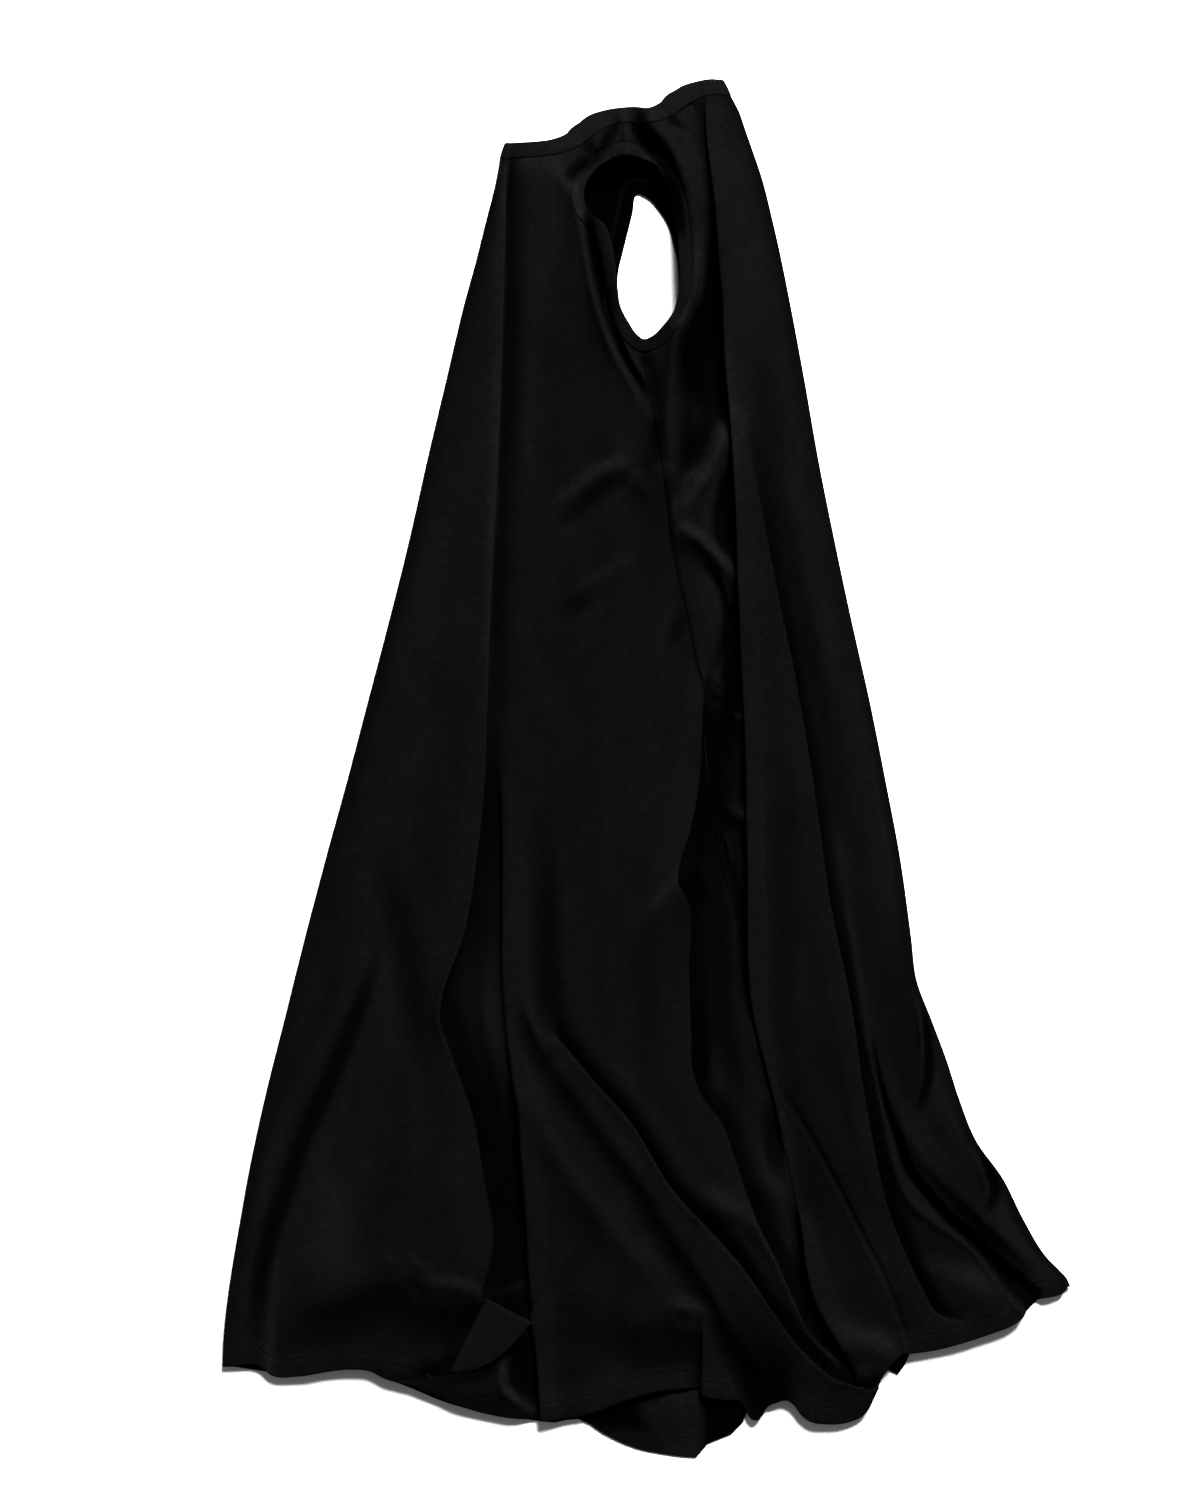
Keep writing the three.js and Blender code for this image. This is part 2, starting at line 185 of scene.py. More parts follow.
# ---------------------------------------------------------------- the folds of the near ply
# From the front fold to the back one, the broad plain stretches between the pleats are called A, B, C and D.

FEATURES, SHADES = [], []


def ridge(points, left, right=None, sharp=2.0):
    """A ridge, or a valley where its height is negative. Points are (x, y, height[, times the widths])."""
    line = spline([(*p, 1.0)[:4] for p in points], 7.0)
    FEATURES.append(("ridge", line, left, left if right is None else right, sharp))


def pleat(points, high, low, up, down, half=6.0, over=7.0, to=1):
    """A knife edge: cloth on one side lies over the other. Points are (x, y, share of the full size).

    to is 1 where the right side is the lower one, and -1 where the left side is.
    high and low are how far each side takes to settle, up and down how far each leaves its level."""
    line = spline(points, 7.0)
    FEATURES.append(("pleat", line, high, low, up, down, half, over, to))


def bump(x, y, height, across, along, turn):
    """A low mound, turned by an angle in degrees."""
    FEATURES.append(("bump", x, y, height, across, along, math.radians(turn)))


def dark(points, left, right=None):
    """A stretch of painted shade on the near ply, or of painted highlight where its third number is below 0.

    left and right are how far it reaches to each side."""
    line = spline(points, 7.0)
    SHADES.append((line, left, left if right is None else right))


# A, from the front fold to its right-hand edge
pleat([(-138,650,.3), (-138,604,.6), (-140,469,.7), (-143,369,.65), (-147,269,.5), (-151,169,.25),
    (-155,100,0)], 7, 10, 3.5, 6, over=4)
# painted shade beside the right-hand edge of A, and a painted highlight along the edge itself
dark([(-129,612,.1), (-129,560,.3), (-131,470,.35), (-134,370,.35), (-138,270,.35), (-141,170,.3),
    (-144,70,.2)], 7, 9)
dark([(-144,600,-.5), (-146,470,-.8), (-149,370,-.8), (-153,270,-.6), (-157,170,-.4), (-159,60,-.3)], 6)
pleat([(-151,269,0), (-153,169,.25), (-156,69,.45), (-159,-11,.6), (-168,-91,.8), (-183,-170,.95), (-200,-215,1),
    (-206,-245,1), (-196,-280,1), (-182,-320,1), (-172,-350,1), (-165,-390,1), (-158,-430,1), (-152,-465,1),
    (-157,-500,.9), (-162,-525,.5)], 14, 22, 3.5, 8)
ridge([(-172,-120,0), (-190,-175,2.5), (-207,-215,3.5), (-215,-245,3.5), (-205,-275,2), (-190,-310,0)], 6)
ridge([(-270,-170,0), (-280,-215,-3), (-300,-270,-4), (-320,-320,-4.2), (-345,-375,-4.2), (-361,-420,-4.2),
    (-378,-470,-4.2), (-388,-510,-4), (-392,-550,-2), (-394,-590,0)], 9)
ridge([(-272,-170,0), (-284,-200,1.5), (-303,-240,2.5), (-333,-300,3), (-363,-360,3), (-384,-420,3), (-396,-480,2),
    (-402,-540,1)], 9)
ridge([(-250,-330,0), (-290,-380,1.5), (-315,-440,3), (-325,-500,3), (-320,-545,0)], 40)
ridge([(-352,-570,-1.5), (-318,-556,-2.5), (-285,-540,-3), (-255,-534,-3.4), (-225,-546,-3.4), (-200,-558,-3.4),
    (-178,-552,-2.5), (-165,-540,0)], 26, 20)
ridge([(-262,-475,0), (-258,-490,1), (-250,-500,0)], 5)
ridge([(-238,-482,0), (-234,-490,1), (-220,-500,.7), (-210,-504,0)], 5)
ridge([(-226,-518,0), (-205,-512,1.8), (-182,-518,2), (-166,-527,1)], 7)
ridge([(-240,-505,0), (-226,-522,-1.8), (-212,-530,0)], 6)
# the flipped corner of the hem of A, over the layer below it
pleat([(-112,-548,.5), (-125,-565,1), (-145,-583,1), (-170,-597,1), (-195,-603,.9),
    (-235,-611,.2)], 16, 14, 3, 7, half=4, over=4.5, to=-1)
ridge([(-150,-520,0), (-136,-535,-5), (-124,-556,-8), (-122,-585,-8), (-126,-610,-4), (-120,-630,0)], 16, 10)
ridge([(-128,-585,0), (-142,-600,3), (-143,-620,3), (-125,-634,3), (-112,-648,2)], 6)

ridge([(-262,-80,0), (-252,-140,-3), (-240,-200,-3.5), (-228,-260,-3), (-210,-330,-2), (-192,-400,0)], 18)
ridge([(-200,330,0), (-214,230,1.5), (-236,120,2.2), (-262,0,2.4), (-280,-100,2), (-286,-190,1)], 26, 34)
ridge([(-128,620,0), (-128,540,-.8), (-130,400,-1), (-132,250,-.8), (-134,120,0)], 7, 9)
# B, between its two knife edges
pleat([(-152,30,0), (-148,-31,.3), (-147,-120,.35), (-147,-200,.35), (-143,-260,.35), (-138,-300,.45), (-131,-340,.65),
    (-126,-400,.85), (-121,-450,1), (-119,-500,1), (-115,-550,1), (-110,-600,1),
    (-106,-660,1)], 16, 14, 3, 7, half=5.5, over=6.5, to=-1)
ridge([(-158,-130,0), (-172,-190,-5), (-176,-245,-7), (-163,-330,-7), (-146,-430,-7), (-138,-500,-6), (-132,-545,-4),
    (-128,-580,-2)], 22, 18)
ridge([(-108,-40,0), (-103,-131,-3), (-98,-231,-4.5), (-88,-280,-3)], 15)
ridge([(-20,250,0), (-14,120,2), (-14,0,3), (-22,-110,3), (-30,-220,1.5), (-20,-320,0)], 60, 48)
ridge([(10,-135,0), (0,-180,-2), (-4,-250,-2), (0,-330,-1), (20,-380,0)], 24)
ridge([(-95,-430,0), (-92,-520,-2.5), (-80,-600,-3)], 26)
ridge([(-130,-215,0), (-112,-260,2), (-100,-290,0)], 5)
# the tube that runs down to the right across B
pleat([(-95,-255,0), (-80,-275,.7), (-45,-318,1), (-20,-345,1), (0,-375,1), (20,-410,1), (50,-445,.95), (75,-470,.85),
    (100,-500,.85), (130,-545,.85), (160,-583,.85), (190,-608,.85), (222,-618,.8)], 13, 10, 8, 10, half=7, over=8)
ridge([(-130,-235,0), (-118,-270,-3), (-95,-310,-3.6), (-70,-345,-3.6), (-40,-385,-3.6), (-10,-425,-4), (10,-460,-4),
    (30,-490,-4), (50,-520,-4), (65,-545,-4.5), (80,-575,-6), (100,-605,-7), (112,-635,-5)], 12, 9)
ridge([(-140,-300,0), (-118,-332,2), (-98,-370,3), (-78,-400,3), (-48,-440,3), (-18,-480,2.5), (2,-502,2),
    (20,-545,1)], 12)
ridge([(-60,-520,0), (-50,-560,-3), (0,-585,-4), (45,-575,-3), (52,-560,0)], 26)
ridge([(15,-535,0), (40,-537,4), (62,-545,1)], 9)
pleat([(54,-545,.3), (54,-580,.8), (53,-625,.8)], 10, 9, 1.5, 5, half=3.5, over=3.0, to=-1)
# beyond the dark valley at the tube's right
ridge([(48,-418,0), (70,-432,3), (92,-444,3), (105,-455,2)], 12)
ridge([(100,-440,1), (112,-468,4), (127,-492,4), (143,-526,4), (162,-560,4), (200,-594,3), (225,-610,1)], 7)

# the right-hand edge of B
pleat([(63,110,0), (60,79,.4), (56,29,.9), (52,-20,1), (44,-60,1), (34,-95,.9), (32,-112,.8), (40,-128,1),
    (42,-200,1.1), (44,-260,1.1), (47,-300,.9), (56,-324,.6), (75,-350,.7), (90,-390,.7), (100,-420,.7), (112,-452,.8),
    (130,-490,.9), (148,-530,.9), (165,-562,.9), (200,-596,.7)], 16, 14, 2.5, 9, half=5.5, over=6.5)
ridge([(70,60,0), (70,20,-6), (72,-40,-8), (70,-110,-8), (70,-200,-8), (74,-280,-6), (90,-330,-2), (100,-350,0)], 20)
ridge([(60,30,0), (60,-10,-6), (54,-60,-5), (46,-110,-5), (50,-140,-8), (51,-220,-9), (52,-280,-7),
    (56,-320,0)], 6, 8)
ridge([(78,-38,1), (88,-44,5), (98,-50,3)], 7)
ridge([(60,-52,0), (72,-60,1.2), (84,-131,1.6), (96,-215,1.6), (104,-262,1.2), (112,-296,0)], 2.4, 2.0)
ridge([(70,-58,0), (82,-100,-3), (94,-160,-4), (99,-215,-3), (104,-262,0)], 5)
ridge([(112,-395,0), (124,-418,3), (138,-440,1)], 12)

# the left-hand edge of C, and the deep hollow beside it
pleat([(55,700,0), (55,682,0), (56,672,.1), (56,655,.35), (57,635,.45), (61,602,.6), (67,566,.9), (71,532,1.1),
    (73,501,1.3), (76,472,1.3), (77,440,1.3), (79,402,1.2), (82,370,1.1), (85,330,1.1), (89,270,1.1), (91,200,1.1),
    (92,150,.9), (93,100,.7), (95,60,.6), (97,0,.6), (98,-60,.6), (99,-131,.65), (100,-200,.7), (103,-240,.5),
    (109,-270,.35), (117,-300,.35), (126,-335,.4), (133,-370,.35), (138,-400,.15), (145,-430,.15), (154,-460,.8),
    (160,-500,1), (168,-530,1), (178,-552,1), (195,-580,1), (208,-602,.6)], 14, 10, 3, 9, half=5, over=6.5, to=-1)
ridge([(62,570,0), (65,540,-4), (67,505,-8), (66,478,-11), (63,452,-14), (60,428,-16), (59,405,-16), (62,380,-9),
    (64,355,-6), (58,330,-6), (52,305,-6), (50,288,0)], 13, 15)
ridge([(56,470,0), (48,436,-8), (44,415,-9), (45,395,-7), (50,370,-3), (56,350,0)], 11)
ridge([(80,300,0), (80,275,-8), (76,245,-10), (80,225,-6), (84,212,0)], 9, 6)
ridge([(86,165,0), (86,130,-8), (84,95,-10), (82,60,-8), (80,30,-6), (82,0,0)], 7, 6)
for wx, wy in ((76, 84), (74, 74), (88, 52)):
    ridge([(wx - 9, wy + 4, 0), (wx, wy, 4), (wx + 9, wy - 2, 2)], 3.5)

# C and D, and the pleats between them
pleat([(100,345,0), (108,300,.25), (118,250,.55), (127,200,.8), (137,150,.8), (147,105,.75), (156,55,.75), (164,9,.75),
    (174,-60,.75), (184,-131,.75), (192,-171,.75), (200,-210,.85), (207,-250,1), (217,-320,1), (232,-400,1),
    (242,-440,1), (252,-467,1), (275,-517,1), (291,-543,.9), (305,-549,.3)], 16, 9, 2.2, 6, half=3.8, over=4)
ridge([(112,330,0), (128,270,-1.6), (142,205,-2.4), (152,160,-2.4), (166,90,-2), (176,40,-1.6), (188,-40,-1),
    (196,-100,0)], 10, 14)
ridge([(196,-130,0), (205,-175,2), (212,-220,2.6), (220,-270,2.6), (228,-300,2.6), (235,-340,2.6), (243,-380,2.6),
    (252,-410,2.6), (263,-432,2.4), (280,-447,2.4), (305,-464,2.4), (330,-484,2.4), (343,-500,2.4), (358,-518,2.4),
    (373,-540,1.5)], 5, 4)
ridge([(222,-262,0,.4), (229,-295,-4,.45), (239,-336,-5,.5), (250,-365,-6,.6), (261,-398,-7,.75), (280,-424,-7,.75),
    (303,-450,-7,.8), (329,-473,-8,.9), (350,-496,-9,1.2), (368,-516,-9,1.7), (384,-530,-6,1.7)], 6, sharp=3)
ridge([(236,-285,0), (247,-325,2), (259,-360,2.6), (274,-388,3), (291,-406,3), (310,-425,3), (332,-446,3),
    (355,-467,3), (376,-487,2), (392,-508,0)], 8)
ridge([(280,-480,0), (305,-505,3), (335,-522,3), (350,-540,0)], 16)
ridge([(118,-300,0), (150,-350,.5), (190,-420,.6), (215,-470,.6), (236,-510,.7), (254,-560,.9),
    (262,-588,.9)], 3.5, 2)
ridge([(122,-300,0), (154,-350,-1.2), (193,-420,-1.4), (218,-470,-1.4), (239,-510,-1.4), (258,-560,-1)], 3)
ridge([(128,40,0), (130,-60,-2), (132,-180,-2.5), (136,-280,-2.5), (150,-360,-2.5), (166,-440,-2), (190,-520,0)], 18)
ridge([(112,-330,0), (122,-370,-4), (128,-410,-2), (130,-440,0)], 9)
ridge([(212,100,0), (224,0,2), (236,-100,2), (246,-190,1), (262,-280,0)], 20)
ridge([(176,-300,0), (190,-370,2.5), (212,-440,2.5), (232,-500,2), (250,-560,0)], 14, 12)
ridge([(280,-300,0), (300,-350,3), (330,-410,3.5), (360,-455,3), (390,-500,1.5)], 20, 16)
ridge([(262,-330,0), (280,-372,3), (312,-412,3), (344,-448,3), (378,-486,1)], 12, 10)
ridge([(170,-560,0), (200,-572,3), (235,-580,3), (250,-592,1)], 16)
# short curls at the back fold
ridge([(266,-215,0), (272,-240,3), (273,-300,3), (268,-322,0)], 3.5)
ridge([(276,-228,-5), (279,-260,-9), (280,-315,-9), (272,-340,-2)], 2.6, 3.2)
ridge([(322,-365,0), (331,-395,3), (340,-428,1)], 3.5)
ridge([(333,-376,-4), (341,-400,-9), (347,-425,-9), (338,-444,-2)], 3, 5)

# the bodice: the shoulder, the slack at the neck, the ridges round the armhole
ridge([(-48,605,-2.5), (-42,622,-4), (-32,640,-3), (-29,652,0)], 5)
ridge([(-20,600,1), (-20,630,3), (-18,650,.5)], 6)
ridge([(-12,660,0), (-11,648,-7), (-6,632,-10), (4,620,-11), (15,608,-11), (23,592,-11), (28,572,-11), (31,552,-9),
    (34,530,-2)], 7, 8)
ridge([(0,652,0), (6,640,3), (18,628,3), (28,608,3), (34,585,2)], 6)
ridge([(16,652,0), (32,641,-2.5), (48,632,0)], 3.5)
ridge([(18,640,0), (34,648,-3), (45,660,-3), (50,664,0)], 3.5)
ridge([(-64,624,0), (-58,620,-3), (-50,610,-2), (-46,604,0)], 4)
ridge([(-86,580,0), (-76,592,-2.5), (-64,601,-3.5), (-53,605,-1)], 5)
ridge([(-108,605,0), (-84,585,2), (-68,560,3.5), (-61,520,4), (-54,480,4.5), (-43,443,5), (-29,411,5), (-10,381,4.5),
    (1,364,3), (10,340,0)], 7, 6)
ridge([(-62,566,0), (-56,535,-6), (-49,500,-7), (-42,468,-7), (-32,435,-7), (-19,405,-7), (-4,376,-5),
    (5,352,0)], 6.5, 4.5)
ridge([(-36,452,0), (-24,425,2), (-10,400,2), (2,383,0)], 3)
ridge([(-8,410,0), (0,404,-3), (10,408,0)], 5)
ridge([(46,520,1), (47,495,3), (45,470,4), (36,450,5), (29,428,5), (26,400,5), (23,370,4.5), (22,330,4),
    (24,300,1)], 7, 8)
ridge([(14,425,0), (11,390,-1), (9,350,-1), (8,322,-2), (10,302,0)], 5)
ridge([(92,358,1), (84,345,5), (69,318,8), (52,285,8), (36,257,6), (24,238,0)], 11, 10)
ridge([(22,232,0), (36,238,3), (50,231,4), (66,215,4.5), (80,200,4), (90,186,2)], 7)
bump(60,148,6,14,42,8)
ridge([(52,208,0), (68,192,-3), (78,165,-4), (80,140,-4), (72,108,-4), (68,92,0)], 3.5)
ridge([(38,155,0), (28,135,-2), (18,112,0)], 7)
ridge([(-100,262,0), (-78,270,2.2), (-50,294,3.5), (-28,303,2)], 8)
ridge([(-96,236,0), (-74,252,-1.6), (-50,273,-2), (-20,290,-1)], 8)
ridge([(-22,292,0), (-8,286,3), (2,270,0)], 9)
ridge([(-80,168,0), (-60,180,1.4), (-38,196,1.6), (-10,216,0)], 9)
ridge([(-95,145,0), (-70,163,-1.8), (-46,184,0)], 10)

# painted shade in the deep places, and painted highlights where a fold is lighter than its own relief would make it
dark([(70,505,.3), (64,470,.9), (58,440,1.4), (54,412,1.6), (54,392,1.4), (60,372,.8), (66,352,.3)], 16, 18)
dark([(40,434,.6), (38,412,1), (38,392,.8), (38,372,.4)], 8)
dark([(46,402,.9), (42,372,.8), (42,345,1.3), (40,320,1.6), (38,300,.8)], 8)
dark([(-138,606,-.4), (-105,603,-.6), (-86,592,-.5)], 14)
dark([(-76,580,-.4), (-70,560,-.5), (-62,520,-.35), (-55,480,-.3), (-43,442,-.3), (-29,410,-.3), (-10,380,-.3),
    (2,360,-.2)], 7)
dark([(82,500,-.2), (86,400,-.35), (93,330,-.3), (97,270,-.15)], 6)
dark([(88,345,-.5), (70,318,-1.2), (52,285,-1.2), (38,258,-.8)], 15)
dark([(6,300,-.4), (24,300,-.4)], 6)
dark([(25,236,-.3), (44,235,-.6), (62,222,-.6), (78,203,-.6), (88,190,-.4)], 6)
dark([(36,560,.2), (39,520,.4), (38,480,.4), (28,448,.4), (12,431,.4), (-4,423,.4), (-20,438,.4), (-30,460,.4),
    (-36,490,.4), (-40,530,.3)], 6)
dark([(43,548,.4), (45,510,.7), (43,475,.7), (33,449,.5)], 2)
dark([(30,222,.5), (45,220,.7), (60,208,.7), (72,190,.6)], 8)
dark([(25,235,.8), (37,168,.7), (45,132,.7), (53,90,.6), (60,62,.4)], 2.2)
dark([(-84,580,.2), (-73,592,.8), (-61,603,.9), (-52,606,.3)], 7)
dark([(-64,622,.4), (-56,613,.8), (-50,606,.3)], 4)
dark([(18,600,1.2), (26,580,1.6), (31,560,1.6), (34,540,.9), (37,515,.2)], 6)
dark([(-60,552,.4), (-55,535,1.2), (-51,510,1.5), (-47,487,1.1), (-41,460,.6), (-34,440,.4)], 6, 8)
dark([(-2,412,.6), (5,398,1.1), (8,375,.9), (11,350,.5), (12,330,.2)], 6)
dark([(4,332,.2), (2,308,.5), (-7,278,.5), (-16,262,0)], 9)
dark([(17,300,.2), (20,282,1), (23,256,1.2), (26,233,.6)], 3)
dark([(106,425,0), (112,380,.35), (118,340,.4), (120,300,.45), (124,250,.45), (134,200,.3), (150,130,.2)], 16, 18)
dark([(60,60,.3), (56,0,.5), (54,-100,.6), (50,-150,.8), (52,-200,1), (54,-260,1.3), (56,-308,1.3), (64,-342,.5)], 8)
dark([(78,40,.3), (80,-60,.5), (80,-130,.5), (82,-200,.6), (84,-270,.5), (98,-335,.2)], 20)
dark([(84,135,.6), (82,95,.9), (76,55,1), (72,10,.9), (68,-22,1.1), (62,-52,1), (54,-90,.8), (52,-130,.8)], 13)
dark([(50,-40,-.2), (42,-75,-.4), (28,-105,-.5), (12,-130,-.5), (0,-146,-.3)], 7)
dark([(38,-118,.6), (34,-135,.5), (30,-160,.35), (26,-200,.25)], 12)
dark([(143,150,.5), (151,100,.7), (158,55,.7), (166,9,.7), (176,-60,.7), (186,-131,.7), (194,-171,.6), (202,-210,.6),
    (209,-250,.5), (219,-320,.4)], 2.5)
dark([(150,190,.1), (162,130,.35), (170,80,.4), (178,20,.3), (188,-50,.2)], 12)
dark([(235,-150,.2), (248,-220,.42), (255,-280,.45), (264,-335,.3)], 24)
dark([(296,-360,.2), (318,-405,.45), (338,-440,.3)], 18)
dark([(178,-280,.2), (188,-340,.4), (205,-400,.4), (228,-455,.35)], 15)
dark([(258,-448,.5), (270,-470,.5), (290,-478,.4), (320,-487,.2)], 12)
dark([(56,-418,-.2), (76,-434,-.45), (95,-454,-.7), (112,-480,-.9), (130,-508,-.8), (148,-538,-.5)], 9)
dark([(-92,-290,-.2), (-40,-352,-.35), (5,-412,-.35), (50,-468,-.35), (90,-515,-.35), (138,-575,-.3),
    (180,-612,0)], 8)
dark([(88,-545,.3), (104,-585,1.2), (112,-610,1.7), (118,-640,1.4)], 20, 22)
dark([(122,-580,.6), (134,-610,1.3), (134,-638,1)], 13)
dark([(180,-556,-.3), (206,-560,-.45), (232,-570,-.45), (250,-588,-.2)], 15)
dark([(22,-536,-.15), (42,-535,-.4), (60,-541,-.3)], 8)
dark([(-80,-575,.1), (-20,-585,.4), (20,-582,.5), (42,-580,.5), (52,-590,.2)], 22)
dark([(-152,-40,.2), (-158,-110,.1), (-165,-165,-.35), (-170,-220,-.6), (-168,-270,-.5), (-159,-320,.3),
    (-150,-380,.9), (-143,-430,1.2), (-139,-470,1), (-138,-500,1.2), (-138,-540,1.5)], 17)
dark([(-156,-523,-.7), (-142,-523,-1.4), (-126,-515,-1.4)], 5)
dark([(-134,-556,1), (-126,-590,1.4), (-122,-618,1)], 13, 12)
dark([(-228,-604,.5), (-212,-606,1.3), (-190,-609,1), (-165,-605,1.4), (-146,-594,1.3)], 6)
dark([(-262,-612,.5), (-200,-627,.6), (-150,-638,.6), (-116,-646,.2)], 13)
dark([(-142,-588,-1), (-144,-610,-1.8), (-130,-632,-1.6), (-113,-646,-.8)], 4)
dark([(-202,-592,.2), (-188,-560,.9), (-173,-538,1)], 9, 4)
dark([(-345,-568,.3), (-320,-559,.6), (-290,-549,.8), (-262,-538,.85), (-236,-550,.9), (-210,-556,.9), (-192,-555,1),
    (-178,-550,1)], 27, 25)
dark([(-368,-480,-.2), (-373,-530,-.6), (-375,-565,-.8), (-378,-602,-.7)], 6)
dark([(-196,-232,.6), (-185,-262,.9), (-175,-300,.9), (-167,-340,.8), (-159,-380,.6)], 8)
dark([(-308,-370,-.1), (-315,-440,-.3), (-325,-485,-.36), (-350,-510,-.15)], 42)
dark([(-318,-170,-.1), (-345,-260,-.2), (-370,-350,-.2), (-390,-440,-.15)], 12)
dark([(52,525,-.3), (51,490,-.9), (46,462,-1.2), (38,442,-.8)], 8)
dark([(-98,258,-.1), (-62,290,-.3), (-22,312,-.3)], 9)
dark([(288,-498,-.2), (318,-510,-.4), (350,-528,-.2)], 14)
dark([(-228,-520,-.2), (-202,-514,-.5), (-174,-520,-.4)], 8)


FANS = [(RNG.uniform(2, 15), RNG.uniform(-1.6, 1.6), RNG.uniform(0, 7)) for _ in range(16)]
CREASES = [(RNG.uniform(22, 75), RNG.normal(0, 0.55), RNG.uniform(0, 7)) for _ in range(34)]


def soft_waves(s, v, x, y):
    """Gentle uneven fullness that fans out from the bodice, and small creases everywhere."""
    z = np.zeros(np.shape(x))
    for f, g, start in FANS:
        z += 1.6 / (2 + f) * np.cos(2 * np.pi * (f * s + g * v) + start) * (0.3 + 0.7 * v)
    for w, turn, start in CREASES:
        z += 0.0018 * w * np.cos(2 * np.pi * (math.cos(turn) * x + math.sin(turn) * y) / w + start)
    return z


def share_of(x, y):
    """The share of the way from the front fold to the back one."""
    lx, rx = front_edge.x_at(y) + FOLD, back_edge.x_at(y) - FOLD
    return np.clip((x - lx) / (rx - lx), 0, 1)


def to_fold(x, y):
    """The distance to the nearer of the front and the back fold."""
    return np.minimum(x - front_edge.x_at(y), back_edge.x_at(y) - x)


def surface(x, y):
    """Where the plan points of the near ply lie: its middle layer, in millimetres."""
    shape = np.shape(x)
    x, y = np.ravel(x).astype(float), np.ravel(y).astype(float)
    s = share_of(x, y)
    v = np.clip((TOP - y) / (DROP + 30), 0, 1)
    lift = np.interp(y, *np.array(LIFT).T)
    dx, dy, fold = np.zeros(len(x)), np.zeros(len(x)), np.zeros(len(x))
    for kind, *f in FEATURES:
        if kind == "bump":
            cx, cy, height, across, along, turn = f
            u = (x - cx) * math.cos(turn) + (y - cy) * math.sin(turn)
            w = (y - cy) * math.cos(turn) - (x - cx) * math.sin(turn)
            fold += height * np.exp(-((u / across) ** 2) - (w / along) ** 2)
            continue
        line = f[0]
        if kind == "ridge":
            _, left, right, sharp = f
            who, d, value, _ = nearest(line, x, y, 3 * max(left, right))
            wide = np.where(d < 0, left, right) * value[:, 3]
            fold[who] += RIDGES * value[:, 2] * np.exp(-(np.abs(d / wide) ** sharp))
        else:
            _, high, low, up, down, half, over, to = f
            who, d, value, normal = nearest(line, x, y, 3 * max(high, low))
            q = to * d / half + 0.45
            k = value[:, 2]
            step = smooth(-1.0, 1.0, q)
            fold[who] += STEPS * k * ((1 - step) * up * np.exp(-((d / high) ** 2))
                                      - step * down * np.exp(-((d / low) ** 2)))
            push = -to * over * np.minimum(k, 1.1) * q * np.exp(0.5 * (1 - q * q))
            dx[who] += push * normal[:, 0]
            dy[who] += push * normal[:, 1]
    # the ply climbs from the two folds, over 70 mm at the neck and 120 mm at the hem
    edge = to_fold(x, y)
    rise = 1 - (1 - np.clip(edge / (70 + 50 * v), 0, 1)) ** 2.2
    z = FAR + 2 * FOLD + (lift - FAR - 2 * FOLD) * rise
    z = z + (fold + soft_waves(s, v, x, y)) * smooth(-1, 16, edge)
    # and it never sinks into the far ply, or into the bindings round the armholes
    floor = FAR + 2.2 + 2.2 * smooth(300, 400, y)
    z = floor + np.logaddexp(0, (z - floor) / 1.2) * 1.2
    dx, dy = dx * smooth(0, 20, edge), dy * smooth(0, 20, edge)
    return np.stack([x + dx, y + dy, z], 1).reshape(*shape, 3)


def blurred(z, radius, step):
    """A height map smoothed twice with a box of a radius, in millimetres."""
    n = max(1, int(radius / step))
    for _ in range(2):
        for axis in (0, 1):
            padded = np.pad(z, [(n, n) if a == axis else (0, 0) for a in (0, 1)], mode="edge")
            total = np.cumsum(np.insert(padded, 0, 0, axis=axis), axis=axis)
            hi = np.take(total, range(2 * n + 1, total.shape[axis]), axis=axis)
            z = (hi - np.take(total, range(hi.shape[axis]), axis=axis)) / (2 * n + 1)
    return z


MAP_STEP = 3.0  # of the height map that tells how deep each place lies
map_x, map_y = np.arange(-440, 441, MAP_STEP), np.arange(-700, 706, MAP_STEP)
map_z = surface(*np.meshgrid(map_x, map_y))[..., 2]
# how far each place lies below the smoothed ply around it: this drives the painted shade in the hollows
HOLLOW = 0.6 * blurred(map_z, 9, MAP_STEP) + 0.4 * blurred(map_z, 24, MAP_STEP) - map_z


def painted_light(x, y):
    """Painted light of the near ply: painted highlight above 1 on a ridge, painted shade towards 0 in a hollow, plus
    the dark() strokes.
    """
    fx, fy = (np.clip((c - m[0]) / MAP_STEP, 0, len(m) - 1.001) for c, m in ((x, map_x), (y, map_y)))
    ix, iy = fx.astype(int), fy.astype(int)
    fx, fy = fx - ix, fy - iy
    lost = np.zeros(np.shape(x))
    for line, left, right in SHADES:
        who, d, value, _ = nearest(line, np.ravel(x), np.ravel(y), 2.5 * max(left, right))
        lost.ravel()[who] += value[:, 2] * np.exp(-((d / np.where(d < 0, left, right)) ** 2))
    deep = (HOLLOW[iy, ix] * (1 - fx) + HOLLOW[iy, ix + 1] * fx) * (1 - fy) + (
        HOLLOW[iy + 1, ix] * (1 - fx) + HOLLOW[iy + 1, ix + 1] * fx) * fy
    return np.clip(np.clip(np.exp(-deep / 4.5), 0.22, 1.3) * np.exp(-lost), 0.06, 2.0)


# ---------------------------------------------------------------- making meshes


